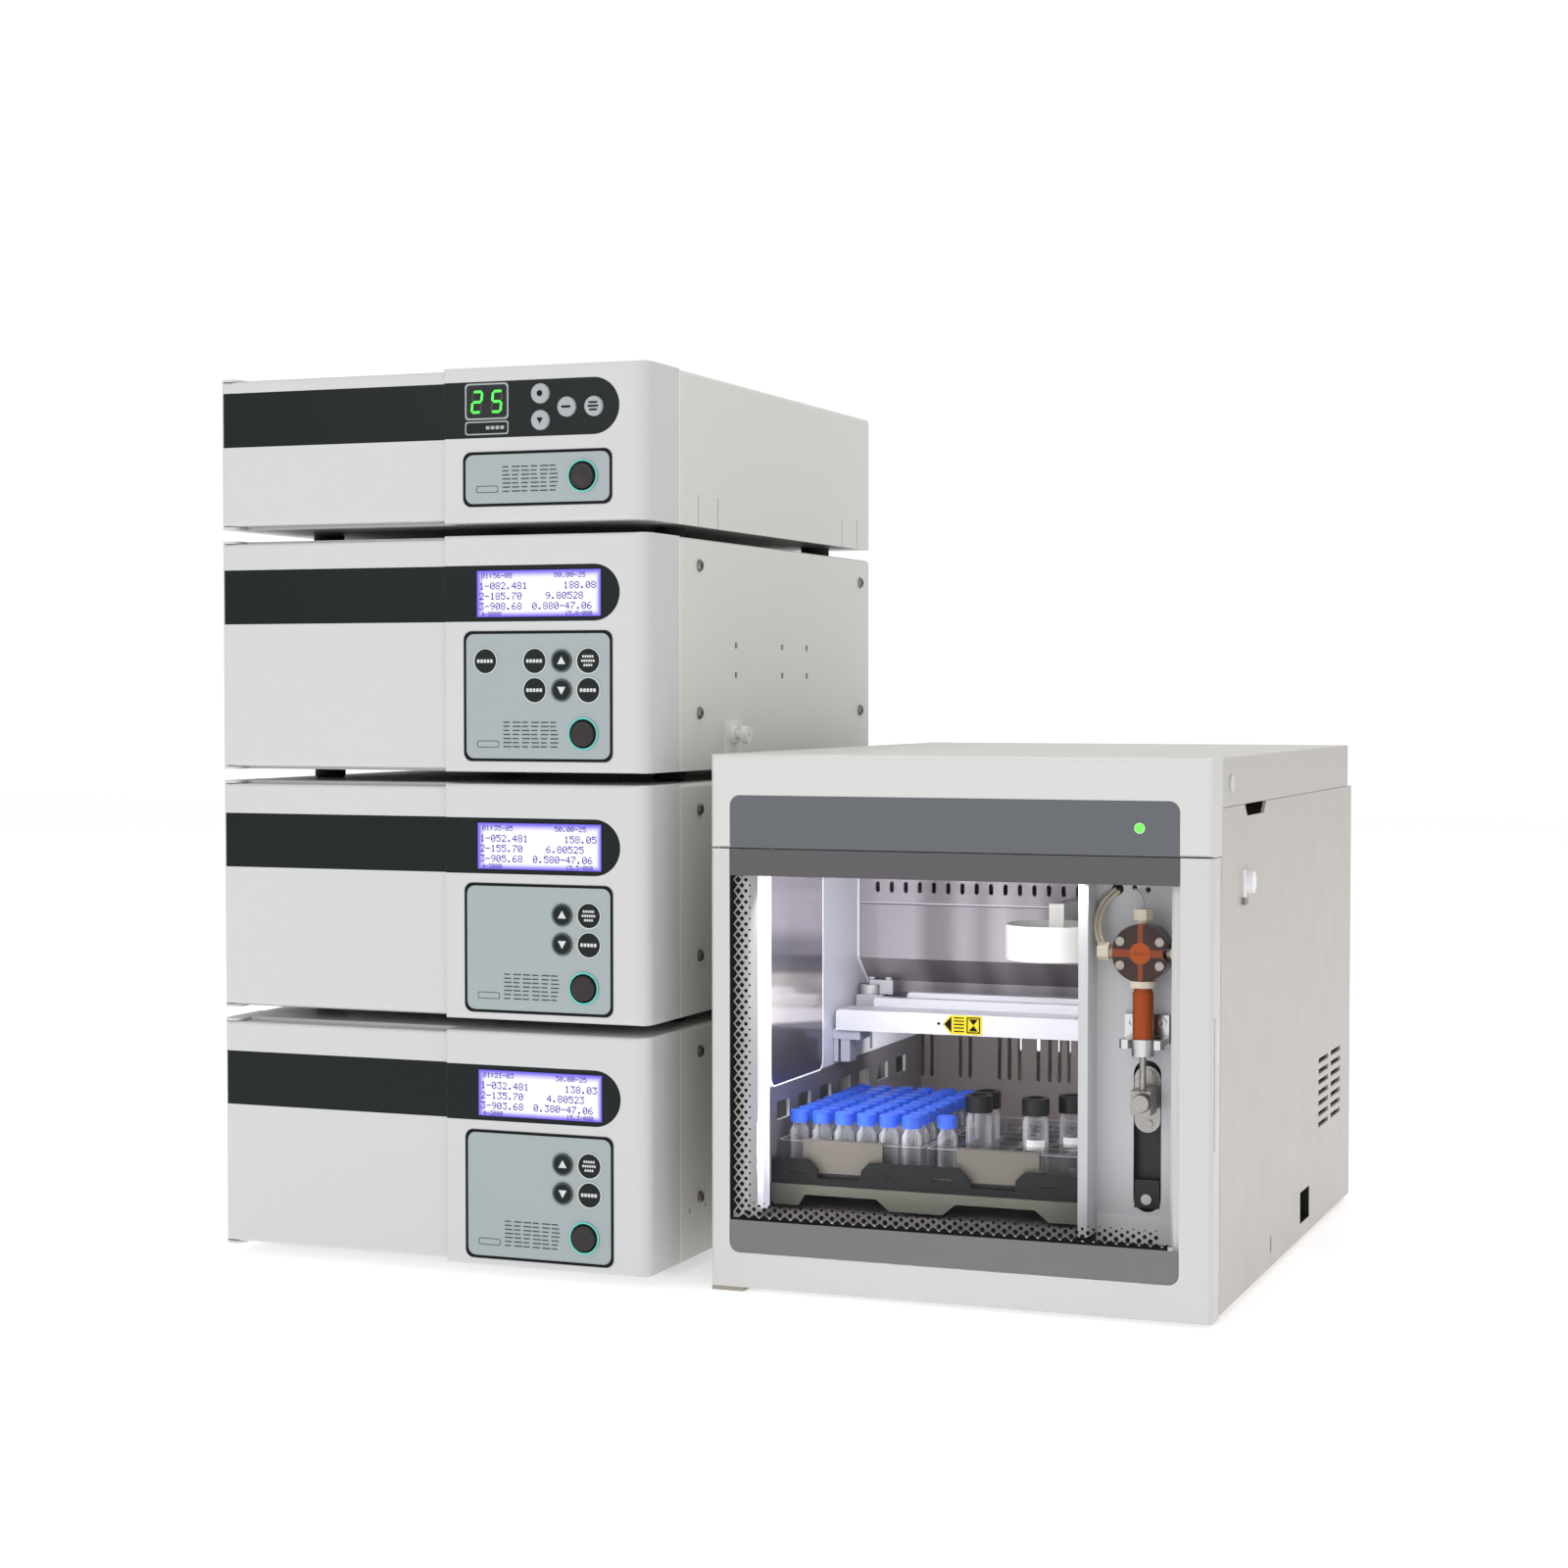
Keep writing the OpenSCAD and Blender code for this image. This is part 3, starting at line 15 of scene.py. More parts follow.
import bpy
import numpy as np
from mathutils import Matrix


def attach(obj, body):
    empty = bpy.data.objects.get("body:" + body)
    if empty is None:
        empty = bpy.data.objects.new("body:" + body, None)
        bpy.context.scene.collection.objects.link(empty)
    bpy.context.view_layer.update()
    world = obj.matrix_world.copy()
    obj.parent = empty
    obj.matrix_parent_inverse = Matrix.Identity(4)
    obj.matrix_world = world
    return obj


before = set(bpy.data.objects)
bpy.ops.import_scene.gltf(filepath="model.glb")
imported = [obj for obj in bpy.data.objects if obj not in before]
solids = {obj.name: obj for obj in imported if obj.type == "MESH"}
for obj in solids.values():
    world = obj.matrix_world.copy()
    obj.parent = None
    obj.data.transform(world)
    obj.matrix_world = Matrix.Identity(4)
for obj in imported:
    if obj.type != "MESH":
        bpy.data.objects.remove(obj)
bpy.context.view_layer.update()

# %% [markdown]
# ## Places in millimetres
# Places are written in millimetres from the front left corner of the stack or the sampler.
# Two small functions turn them into the frame's metres.

# %% From drawing millimetres to the frame
MM = 0.001
STACK_CORNER = np.array([-303.85, -218.3, 0.0])
SAMPLER_CORNER = STACK_CORNER + np.array([315.0, 17.0, 0.0])
FLOORS = {"lower_pump": 7.0, "upper_pump": 151.0, "detector": 295.0, "oven": 439.0}
units = list(FLOORS)


def on_units(points):
    """Place = corner of the stack + drawing point whose height holds its unit's floor, in metres."""
    return (np.asarray(points, float) + STACK_CORNER) * MM


def in_sampler(points):
    """Place = corner of the sampler + drawing point, in metres."""
    return (np.asarray(points, float) + SAMPLER_CORNER) * MM


print("front right top corner of the sampler:", in_sampler([290, 0, 306]))

# %% [markdown]
# ## Camera
# One camera looks down a little on the bench, from the right of the middle. Its long lens
# keeps upright edges nearly parallel.

# %% Camera
SENSOR_MM = 36
FOCAL_PX, FRAME_PX = 2876.93, 1600
CAMERA_PLACE = (0.62785, -1.6808, 0.3411)
DOWN_DEG, TURN_DEG = 1.86, 21.13
lens_mm = SENSOR_MM * FOCAL_PX / FRAME_PX


def stand(name, data):
    """An object made of the data, linked to the scene."""
    made = bpy.data.objects.new(name, data)
    bpy.context.scene.collection.objects.link(made)
    return made


camera = stand("camera", bpy.data.cameras.new("camera"))
camera.data.lens = lens_mm
camera.data.sensor_width = SENSOR_MM
camera.location = CAMERA_PLACE
camera.rotation_euler = (math.radians(90 - DOWN_DEG), 0, math.radians(TURN_DEG))
bpy.context.scene.camera = camera
print("lens:", round(lens_mm, 2), "mm")

# %% [markdown]
# ## Colours and shader nodes
# Colours are written as sRGB codes, which a shader needs as linear values. Short functions
# add the nodes of a shader with their links.

# %% Colours and nodes
def linear(code):
    """sRGB hex to linear: below 0.04045 divide by 12.92, above it ((c + 0.055) / 1.055) ^ 2.4."""
    c = np.array([int(code[i:i + 2], 16) for i in (1, 3, 5)]) / 255
    return tuple(np.where(c <= 0.04045, c / 12.92, ((c + 0.055) / 1.055) ** 2.4)) + (1.0,)


def result(node):
    """The first output that a node with many kinds of data has in use."""
    return next(s for s in node.outputs if s.enabled)


def add(tree, kind, inputs=(), **settings):
    """One shader node with its settings and values; a node or a socket given as a value is linked."""
    node = tree.nodes.new("ShaderNode" + kind)
    for name, value in settings.items():
        setattr(node, name, value)
    for name, value in dict(inputs).items():
        socket = (node.inputs[name] if isinstance(name, int) else
                  next(s for s in node.inputs if s.name == name and s.enabled))
        if isinstance(value, bpy.types.Node):
            value = result(value)
        if isinstance(value, bpy.types.NodeSocket):
            tree.links.new(value, socket)
        else:
            socket.default_value = value
    return node


def here(tree):
    """The place of a point of the surface, in the frame's metres."""
    return add(tree, "TexCoord").outputs["Object"]


def reckon(tree, operation, *values):
    """One arithmetic node with its inputs in order."""
    return add(tree, "Math", dict(enumerate(values)), operation=operation)


def scaled(tree, value, low, high, start=0.0, end=1.0):
    """low where the value is start, high where it is end, and straight between them."""
    return add(tree, "MapRange", {"Value": value, "From Min": start, "From Max": end,
                                  "To Min": low, "To Max": high})


def feed(tree, node, *sockets):
    """Links a node to sockets of the surface shader."""
    for name in sockets:
        tree.links.new(result(node), tree.nodes["Principled BSDF"].inputs[name])


print("middle grey in linear light:", round(float(linear("#808080")[0]), 3))

# %% [markdown]
# ## Light
# White instruments on a pale table need light that is broad and nearly even. A pale sky does
# most of it, and the camera sees it brighter than the room does. A large softbox in front on
# the left and one overhead give the faces their tone, and small lamps light the chamber.

# %% Sky
SKY_LIGHT, SKY_SEEN = 0.635, 1.05
sky = bpy.data.worlds.new("pale_sky")
sky.use_nodes = True
seen = add(sky.node_tree, "LightPath").outputs["Is Camera Ray"]
strength = scaled(sky.node_tree, seen, SKY_LIGHT, SKY_SEEN)
backdrop = sky.node_tree.nodes["Background"]
sky.node_tree.links.new(result(strength), backdrop.inputs["Strength"])
backdrop.inputs["Color"].default_value = linear("#ffffff")
bpy.context.scene.world = sky
bpy.context.scene.view_settings.view_transform = "Standard"
print("sky:", SKY_LIGHT, "as light,", SKY_SEEN, "as seen")


# %% Softboxes and chamber lamps
def softbox(name, place, aim, size, power):
    """A square lamp whose -Z axis points from its place to its aim."""
    lamp = stand(name, bpy.data.lights.new(name, "AREA"))
    lamp.data.size = size
    lamp.data.energy = power
    lamp.location = place
    way = np.array(aim, float) - np.array(place, float)
    lamp.rotation_euler = (math.acos(-way[2] / np.linalg.norm(way)), 0,
                           math.atan2(way[1], way[0]) - math.pi / 2)
    return lamp


softbox("softbox_front", (-0.9, -3.2, 1.5), (0, 0, 0.2), 2.0, 18)
softbox("softbox_top", (0.0, 0.2, 3.0), (0.0, 0, 0.25), 2.4, 30)
CHAMBER_LAMPS = {    # place, aim, width and height in mm, power in watts
    "chamber_strip": ((27.5, 31, 150), (150, 150, 120), 6, 170, 0.16),
    "chamber_front": ((120, 28, 232), (115, 150, 70), 180, 12, 0.16),
    "chamber_top": ((110, 130, 250), (110, 130, 60), 150, 120, 0.26),
    "chamber_back": ((112, 215, 124), (112, 330, 96), 150, 20, 0.1),
    "chamber_floor": ((112, 30, 60), (112, 200, 120), 160, 12, 0.03),
    "valve_column_fill": ((240, 4, 140), (240, 55, 140), 24, 170, 0.012)}
for name, (place, aim, wide, high, power) in CHAMBER_LAMPS.items():
    lamp = softbox(name, in_sampler(place), in_sampler(aim), wide * MM, power)
    lamp.data.shape = "RECTANGLE"
    lamp.data.size_y = high * MM
    lamp.visible_glossy = False      # no mirror images of the lamps
print("lamps:", len(bpy.data.lights))

# %% [markdown]
# ## Table
# The table is one wide face at height zero. It isn't of the part.

# %% Table
TABLE_REACH = 6
floor = stand("floor", bpy.data.meshes.new("floor"))
floor.data.from_pydata([(-TABLE_REACH, -TABLE_REACH, 0), (TABLE_REACH, -TABLE_REACH, 0),
                        (TABLE_REACH, TABLE_REACH, 0), (-TABLE_REACH, TABLE_REACH, 0)], [], [(0, 1, 2, 3)])
print("table:", 2 * TABLE_REACH, "m wide")

# %% [markdown]
# ## Finishes
# Nearly every part here is coated sheet metal, moulded plastic or bare metal. One function
# builds what these share: a colour, how rough it is, and a fine relief whose grain is given in
# millimetres. The cells that follow add what is special to one finish.

# %% The common ground of a finish
def finish(name, colour, rough, metallic=0.0, grain_mm=0.5, relief_mm=0.004, tone=0.03,
           stretch=(1, 1, 1), gloss=0.04, **sockets):
    """A surface: colour times (1 +- tone) over some 90 mm, roughness +- gloss over some 25 mm,
    and a relief of relief_mm over grains of grain_mm, stretched along the axes."""
    made = bpy.data.materials.new(name)
    made.use_nodes = True
    tree = made.node_tree
    run = add(tree, "Mapping", {"Vector": here(tree), "Scale": stretch})
    broad, patches, grain = (add(tree, "TexNoise", {"Vector": run, "Scale": 1 / (mm * MM), "Detail": detail})
                             for mm, detail in ((90, 3.0), (25, 4.0), (grain_mm, 2.0)))
    base = np.array(linear(colour))[:3]
    shade = add(tree, "Mix", {"Factor": broad, "A": tuple(base * (1 - tone)) + (1.0,),
                              "B": tuple(np.minimum(base * (1 + tone), 1)) + (1.0,)}, data_type="RGBA")
    bump = add(tree, "Bump", {"Height": grain, "Strength": 1.0, "Distance": relief_mm * MM})
    for socket, value in dict(sockets, Metallic=metallic).items():
        tree.nodes["Principled BSDF"].inputs[socket.replace("_", " ")].default_value = value
    feed(tree, shade, "Base Color")
    feed(tree, scaled(tree, patches, max(rough - gloss, 0.02), rough + gloss, 0.3, 0.7), "Roughness")
    feed(tree, bump, "Normal")
    return made


def paint(names, made):
    """Puts one finish on the material slots of the named solids."""
    for name in names:
        mesh = solids[name].data
        if not mesh.materials:
            mesh.materials.append(made)
        for k in range(len(mesh.materials)):
            mesh.materials[k] = made


floor.data.materials.append(finish("pale_table_laminate", "#f0f0f0", 0.8, grain_mm=2, relief_mm=0.01,
                                   tone=0.003, Emission_Color=linear("#ffffff"), Emission_Strength=0.42))


def inside_box(tree, low, high):
    """1 where low < place < high on all three axes: the product of three comparisons."""
    xyz = add(tree, "SeparateXYZ", {"Vector": here(tree)})
    middle, half = (np.array(low) + high) / 2, (np.array(high) - low) / 2
    x, y, z = (reckon(tree, "COMPARE", xyz.outputs[axis], float(centre), float(reach))
               for axis, centre, reach in zip("XYZ", middle, half))
    return reckon(tree, "MULTIPLY", reckon(tree, "MULTIPLY", x, y), z)


def recolour(made, mask, colour, rough=None, metallic=None):
    """Where the mask is 1 the surface takes another colour, roughness and metal share."""
    tree = made.node_tree
    shader = tree.nodes["Principled BSDF"]
    now = shader.inputs["Base Color"].links[0].from_socket
    mixed = add(tree, "Mix", {"Factor": mask, "A": now, "B": linear(colour)}, data_type="RGBA")
    feed(tree, mixed, "Base Color")
    for name, value in (("Roughness", rough), ("Metallic", metallic)):
        if value is not None:
            socket = shader.inputs[name]
            old = socket.links[0].from_socket if socket.links else socket.default_value
            feed(tree, scaled(tree, mask, old, value), name)
    return made


def patch(made, low, high, colour, rough=None, metallic=None, place=in_sampler):
    """Recolours what lies between two opposite drawing points."""
    return recolour(made, inside_box(made.node_tree, place(low), place(high)), colour, rough, metallic)


def painted_rim_shade(made, colour, blend=0.35):
    """Painted shade and reflection: surfaces seen along their slope turn to a dark colour that stands for the
    dark room they mirror and the shade on them.
    """
    return recolour(made, add(made.node_tree, "LayerWeight", {"Blend": blend}).outputs["Facing"], colour)


print("first finish:", floor.data.materials[0].name)

# %% [markdown]
# ## Cases and covers
# Folded steel under powder coat has a soft orange peel of about 0.8 mm. A recess or a plug gets a colour of
# its own, between two drawing points, and so do painted highlight and shade: on each cover's cut edge, under
# the plug and behind the liner.

# %% Cases and covers
powder_coat = finish("powder_coated_steel", "#dedfd9", 0.42, grain_mm=0.8, relief_mm=0.012, tone=0.012)
for unit, base in FLOORS.items():
    top = base + (90 if unit == "oven" else 137)
    # painted highlight: a bright line where the cut edge of the cover behind the moulded front catches the
    # light
    patch(powder_coat, [282.6, 47.0, base], [283.5, 48.5, top], "#fbfbf8", 0.3, place=on_units)
paint([u + "_cover" for u in units], powder_coat)
sampler_coat = finish("powder_coated_sampler_case", "#c4beb8", 0.42, grain_mm=0.8, relief_mm=0.012,
                      tone=0.014)
for low, high, colour, rough in (
        ([290.05, 60, 220], [300, 100, 250], "#f4f4f6", 0.3),          # white plug on the side
        ([290.05, 60, 222], [300, 100, 227.1], "#8d8379", 0.4),        # shade under the plug
        ([270, 248.9, 12.9], [289.8, 279.1, 32.6], "#101112", 0.5),    # switch recess
        ([12, 332, 20], [280, 405, 290], "#0a0b0c", 0.7)):             # painted shade: near black over the space behind the liner
    patch(sampler_coat, low, high, colour, rough)
paint(["sampler_case"], sampler_coat)
# Zinc plated sheet: bare, slightly cloudy metal.
zinc = finish("zinc_plated_sheet", "#b4b6b6", 0.38, metallic=1.0, grain_mm=6, tone=0.08)
paint([u + "_chassis" for u in units], zinc)
# Painted ABS mouldings of the sampler: satin, with a fine texture of 0.5 mm.
white_abs = finish("painted_ABS_moulding", "#d3d2d1", 0.36, relief_mm=0.006, tone=0.008)
paint(["sampler_door"], white_abs)
# The lid behind the hood is folded sheet: a pale top, and sides with the case's coat.
lid = finish("moulded_hood_and_coated_lid", "#d8d8d6", 0.36, relief_mm=0.006, tone=0.008)
patch(lid, [-5, 22, 200], [289.99, 500, 310], "#d3d2cd", 0.42)
patch(lid, [289.9, 22, 200], [290.02, 500, 305.8], "#c6c1bb", 0.42)
paint(["sampler_lid"], lid)
print("finishes so far:", len(bpy.data.materials))

# %% [markdown]
# ## Fronts with a dark printed band
# The white fronts have a shallow recess that carries a dark film with one round end. The
# recess is in the solid, so the film is part of the finish: a point is dark where its distance
# from the band's middle line is below the radius.

# %% Front finish with the band
BAND_R = 16.25
BAND_EDGE = BAND_R + 0.03      # the film runs up to the recess wall
BAND_DEPTH = 0.6               # of the recess floor behind the face
BAND_END = (250.25 + STACK_CORNER[0]) * MM
BAND_MID = {"lower_pump": 101.25, "upper_pump": 101.25, "detector": 103.25, "oven": 65.25}


def banded(name, unit, face_y):
    """White moulding; dark where hypot(max(x - end, 0), z - middle) < radius, on the recess floor."""
    made = finish(name, "#d4d4d5", 0.34, relief_mm=0.006, tone=0.008, Specular_IOR_Level=0.25)
    tree = made.node_tree
    xyz = add(tree, "SeparateXYZ", {"Vector": here(tree)})
    beyond = reckon(tree, "MAXIMUM", reckon(tree, "SUBTRACT", xyz.outputs["X"], BAND_END), 0.0)
    rise = reckon(tree, "SUBTRACT", xyz.outputs["Z"], (FLOORS[unit] + BAND_MID[unit]) * MM)
    both = add(tree, "CombineXYZ", {"X": beyond, "Z": rise})
    inside = reckon(tree, "LESS_THAN", add(tree, "VectorMath", {0: both}, operation="LENGTH"), BAND_EDGE * MM)
    deep = reckon(tree, "COMPARE", xyz.outputs["Y"], (STACK_CORNER[1] + face_y + BAND_DEPTH) * MM, 0.35 * MM)
    return recolour(made, reckon(tree, "MULTIPLY", inside, deep), "#061312", 0.32)


for unit in units:
    paint([unit + "_front"], banded("painted_ABS_front_" + unit, unit, 0.0))
    paint([unit + "_door"], banded("painted_ABS_door_" + unit, unit, 4.0))
print("band runs to x =", round(BAND_END + BAND_R * MM, 4), "m")

# %% [markdown]
# ## Keys, plates, displays and feet
# The plates are blue-grey printed film on ABS, the keys are silicone or moulded plastic, the
# displays are glossy black windows, and the feet are plain rubber.

# %% Small plastics and rubber
paint([u + "_keypad" for u in units],
      finish("printed_key_plate", "#a6b0b3", 0.38, grain_mm=0.4, tone=0.01))
paint([u + "_power_button" for u in units],
      finish("moulded_button_brown_black", "#2b2525", 0.3, relief_mm=0.005, Specular_IOR_Level=0.35))
paint(["oven_up_key", "oven_down_key", "oven_enter_key", "oven_run_key"],
      finish("silicone_key_light", "#adb2b5", 0.42, grain_mm=0.4, relief_mm=0.006))
paint(["displays"], finish("glossy_display_window", "#0b0f12", 0.1, grain_mm=5, relief_mm=0.0006, gloss=0.02,
                            Specular_IOR_Level=0.25))
paint(["module_feet"], finish("black_rubber_foot", "#191918", 0.72, grain_mm=0.3, relief_mm=0.02, tone=0.08))
paint(["sampler_feet"], finish("beige_rubber_foot", "#a39c90", 0.6, grain_mm=0.3, relief_mm=0.015))
nickel = finish("nickel_plated_screw", "#a09d97", 0.22, metallic=1.0, grain_mm=0.4, tone=0.08)
# painted shade and reflection: the screw heads darken towards their rims
paint(["cover_screws"], painted_rim_shade(nickel, "#2e2c29", 0.5))
paint(["drain_fitting"], finish("acetal_white", "#ecebe7", 0.4))
print("finishes so far:", len(bpy.data.materials))

# %% [markdown]
# ## Wet parts behind the doors
# Pump heads and the flow cell are milled from stainless bar, with tool marks a fraction of a
# millimetre apart. The column block is cast aluminium under grey paint.

# %% Machined parts
milled = finish("milled_stainless", "#b8bab9", 0.28, metallic=1.0, tone=0.05, stretch=(1, 1, 0.12))
paint(["upper_pump_head", "lower_pump_head", "flow_cell"], milled)
paint(["column_block"], finish("cast_aluminium_painted", "#a7a9a8", 0.5, grain_mm=1.2, relief_mm=0.02,
                               tone=0.04))
print("finishes so far:", len(bpy.data.materials))

# %% [markdown]
# ## Chamber of the sampler
# The chamber is lined with brushed stainless sheet. Brushing leaves long scratches, so the
# grain is stretched far along one axis. The tray is black anodised, the racks are clear
# acrylic and the caps are coloured polypropylene.

# %% Chamber finishes
brushed = finish("brushed_stainless", "#958f93", 0.36, metallic=0.6, grain_mm=0.45, tone=0.06,
                 stretch=(0.04, 1, 1))
for low, high, colour, rough, metallic in (
        ([14, 40, 110.2], [17.2, 340, 260], "#f0f1fb", 0.35, 0.0),     # coated side wall above its ledge
        ([14, 40, 30], [16.4, 340, 108.9], "#d0d2da", 0.4, 0.0),       # sheet seen through the slots
        ([16.4, 40, 30], [17.2, 340, 110], "#7d7a80", 0.4, 0.3),       # darker steel below the ledge
        ([14, 329.8, 30], [210, 340, 170], "#938a89", 0.45, 0.4)):     # back wall
    patch(brushed, low, high, colour, rough, metallic)
# painted reflection: the room shows on the duct as broad upright bands; its one crease is painted as shade
# and highlight
tree = brushed.node_tree
run = add(tree, "Mapping", {"Vector": here(tree), "Scale": (1.0, 0.02, 0.02)})
reflection_sway = add(tree, "TexNoise", {"Vector": run, "Scale": 1 / (34 * MM), "Detail": 1.0})
duct = inside_box(tree, in_sampler([18, 200, 150]), in_sampler([215, 335, 250]))
duct = reckon(tree, "MULTIPLY", duct, scaled(tree, reflection_sway, 0.0, 1.0, 0.42, 0.6))
recolour(brushed, duct, "#c6bec4", 0.3, 0.5)
# painted shade and highlight: a dark line under a light line draws the crease
for low, high, colour in ((207.0, 207.8, "#6d676d"), (207.8, 208.4, "#efe9ef")):
    patch(brushed, [18, 200, low], [215, 230, high], colour)
# painted light: the folded flange round the opening is made white, as lit by the light bar that it carries
patch(brushed, [0, 10, 30], [17, 44, 260], "#dcdce0", 0.4, 0.0)
paint(["chamber_liner"], brushed)
print("nodes in the liner's finish:", len(tree.nodes))

# %% Tray, beam and needle
paint(["tray_carriage"], finish("greenish_grey_enamel", "#57584f", 0.45, grain_mm=1.1, relief_mm=0.012,
                                tone=0.08))
paint(["vial_tray"], finish("black_anodised_aluminium", "#1c1e1f", 0.4, metallic=0.4, grain_mm=0.4,
                            relief_mm=0.008))
paint(["rack_tags"], finish("bead_blasted_steel_tag", "#6f6a63", 0.42, metallic=0.3, grain_mm=0.6,
                            relief_mm=0.008, tone=0.05))
paint(["blue_caps"], finish("blue_polypropylene", "#3561de", 0.36, relief_mm=0.006, tone=0.05,
                            Subsurface_Weight=0.15))
paint(["black_caps"], finish("black_phenolic_cap", "#151312", 0.42, relief_mm=0.008, tone=0.08))
beam = finish("white_enamelled_beam", "#dddce3", 0.32, grain_mm=0.9, tone=0.01)
patch(beam, [10, 150, 100], [40, 180, 132.2], "#b3b5c0", 0.4)      # bracket in the beam's shade
paint(["gantry_beam"], beam)
clamp = finish("satin_stainless_clamp", "#e6e6ea", 0.2, metallic=0.5, relief_mm=0.003)
patch(clamp, [19, 199, 140], [31, 212, 149.25], "#b87a2e", 0.3)    # brass gland
# painted shade and reflection: the needle unit darkens towards its rims
paint(["needle_unit"], painted_rim_shade(clamp, "#1d1b1a", 0.62))
paint(["wash_dish"], finish("white_PTFE_dish", "#dededa", 0.42, grain_mm=1.0, relief_mm=0.005))
print("finishes so far:", len(bpy.data.materials))

# %% [markdown]
# ## Valve column
# A painted sheet panel carries the valve: a smoky amber head with orange parts, a glass
# syringe with its clamp, and beige finger-tight fittings on thin tubes.

# %% Valve finishes
panel_coat = finish("powder_coated_panel", "#c6c7ca", 0.4, grain_mm=0.8, relief_mm=0.008, tone=0.02)
for low, high in (([229, 55.25, 45], [253, 80, 141]), ([233.8, 54.3, 53], [248.4, 63, 69.2])):
    patch(panel_coat, low, high, "#141415", 0.4)                       # slide slot painted near black as its shade, and its black stop block
patch(panel_coat, [237, 52, 54.5], [245, 54.45, 62], "#b5b3b0", 0.25, 0.9)    # screw in the block
paint(["valve_panel"], panel_coat)
# Smoked polycarbonate shows its orange channels as a cross, and four stainless screws.
smoked = finish("smoked_polycarbonate", "#33201c", 0.14, grain_mm=2, relief_mm=0.001, tone=0.12,
                Specular_IOR_Level=0.3)
for low, high in (([226, 31, 195.6], [259, 32.2, 199.8]), ([240.9, 31, 181], [243.7, 32.2, 214])):
    patch(smoked, low, high, "#7c3517")
for x in (231.2, 253.4):
    for z in (191.1, 204.3):
        patch(smoked, [x - 3, 29, z - 3], [x + 3, 31.95, z + 3], "#a09a92", 0.22, 0.95)
paint(["valve_head"], smoked)
paint(["valve_rotor"], finish("orange_PEEK_rotor", "#9a4310", 0.35, relief_mm=0.005, Specular_IOR_Level=0.2))
barrel = finish("amber_tinted_barrel", "#8f3c06", 0.16, grain_mm=2, relief_mm=0.002, tone=0.1,
                Specular_IOR_Level=0.2)
# painted shade: the barrel darkens towards its edges
paint(["syringe_barrel"], painted_rim_shade(barrel, "#3a1203"))
chrome = finish("chromed_clamp", "#cfd0d1", 0.2, metallic=1.0, relief_mm=0.003)
# painted reflection: the clamp's rims take the grey of the dark room
paint(["syringe_clamp"], painted_rim_shade(chrome, "#4a4a4b", 0.5))
satin_nickel = finish("satin_nickel_carriage", "#a5a29e", 0.27, metallic=0.9, relief_mm=0.003, tone=0.05)
# painted shade and reflection: the carriage darkens towards its rims
paint(["plunger_carriage"], painted_rim_shade(satin_nickel, "#33322f", 0.55))
paint(["tubes_and_fittings"], finish("natural_PEEK_fittings", "#bdb2a0", 0.4, relief_mm=0.005))
print("finishes so far:", len(bpy.data.materials))

# %% [markdown]
# ## Clear parts
# Panes and racks must let light pass into the chamber. A mix by viewing slope does that
# cheaply: nearly clear when seen square on, and more of a body when seen along the surface.

# %% Clear finishes
def clear(name, colour, rough, faint, full, blend=0.4, **more):
    """Alpha rises from faint, seen square on, to full, seen along it; a small blend keeps it late."""
    made = finish(name, colour, rough, **more)
    tree = made.node_tree
    slope = add(tree, "LayerWeight", {"Blend": blend}).outputs["Facing"]
    feed(tree, scaled(tree, slope, faint, full), "Alpha")
    return made


paint(["door_glass"], clear("door_float_glass", "#c9cbd0", 0.03, faint=0.0, full=0.1, grain_mm=8,
                            relief_mm=0.0004, gloss=0.01, Specular_IOR_Level=0.1))
paint(["rack_left", "rack_right"], clear("clear_acrylic_rack", "#6f6c70", 0.08, faint=0.14, full=0.85,
                                         blend=0.3, grain_mm=3, relief_mm=0.001, gloss=0.02))
paint(["vials"], clear("borosilicate_vial", "#f4f5fb", 0.05, faint=0.03, full=0.95, blend=0.22, grain_mm=4,
                       relief_mm=0.0005, gloss=0.02))
CLEAR = ("door_glass", "rack_left", "rack_right", "vials")
for name in CLEAR:
    solids[name].visible_shadow = False      # clear parts let the light through
print("clear solids that cast no shadow:", len(CLEAR))

# %% [markdown]
# ## Thin pieces
# Printed lines and films are about a tenth of a millimetre thick. Each is a flat outline given
# a front and a back, so that it is a closed solid. Outlines run anticlockwise seen from the
# front, which makes every face point outwards.

# %% Outlines and closed thin solids
def rounded(x0, x1, z0, z1, r, n=8):
    """Rectangle with quarter circles: corner centre + r (cos a, sin a), a over four right angles."""
    a = np.linspace(0, np.pi / 2, n)
    corners = ((x1 - r, z0 + r, -0.5), (x1 - r, z1 - r, 0), (x0 + r, z1 - r, 0.5), (x0 + r, z0 + r, 1))
    return np.concatenate([np.c_[x + r * np.cos(a + k * np.pi), z + r * np.sin(a + k * np.pi)]
                           for x, z, k in corners])


def disc(x, z, r, n=40, turn=0.0):
    """Circle, or a polygon of few sides: centre + r (cos a, sin a)."""
    a = np.arange(n) * 2 * np.pi / n + turn
    return np.c_[x + r * np.cos(a), z + r * np.sin(a)]


def plaques(outlines, front, back):
    """Prisms: every outline of n points is set at depths front and back, its sides are n quads."""
    outlines = np.asarray(outlines, float)
    m, n = outlines.shape[:2]
    depth = np.broadcast_to(np.array([front, back], float)[None, :, None], (m, 2, n))
    both = np.broadcast_to(outlines[:, None], (m, 2, n, 2))
    points = np.stack([both[..., 0], depth, both[..., 1]], -1).reshape(-1, 3)
    first, i = np.arange(m)[:, None] * 2 * n, np.arange(n)
    j = (i + 1) % n
    sides = np.stack([first + i, first + n + i, first + n + j, first + j], -1).reshape(-1, 4)
    return points, (first + i).tolist() + (first + n + i[::-1]).tolist() + sides.tolist()


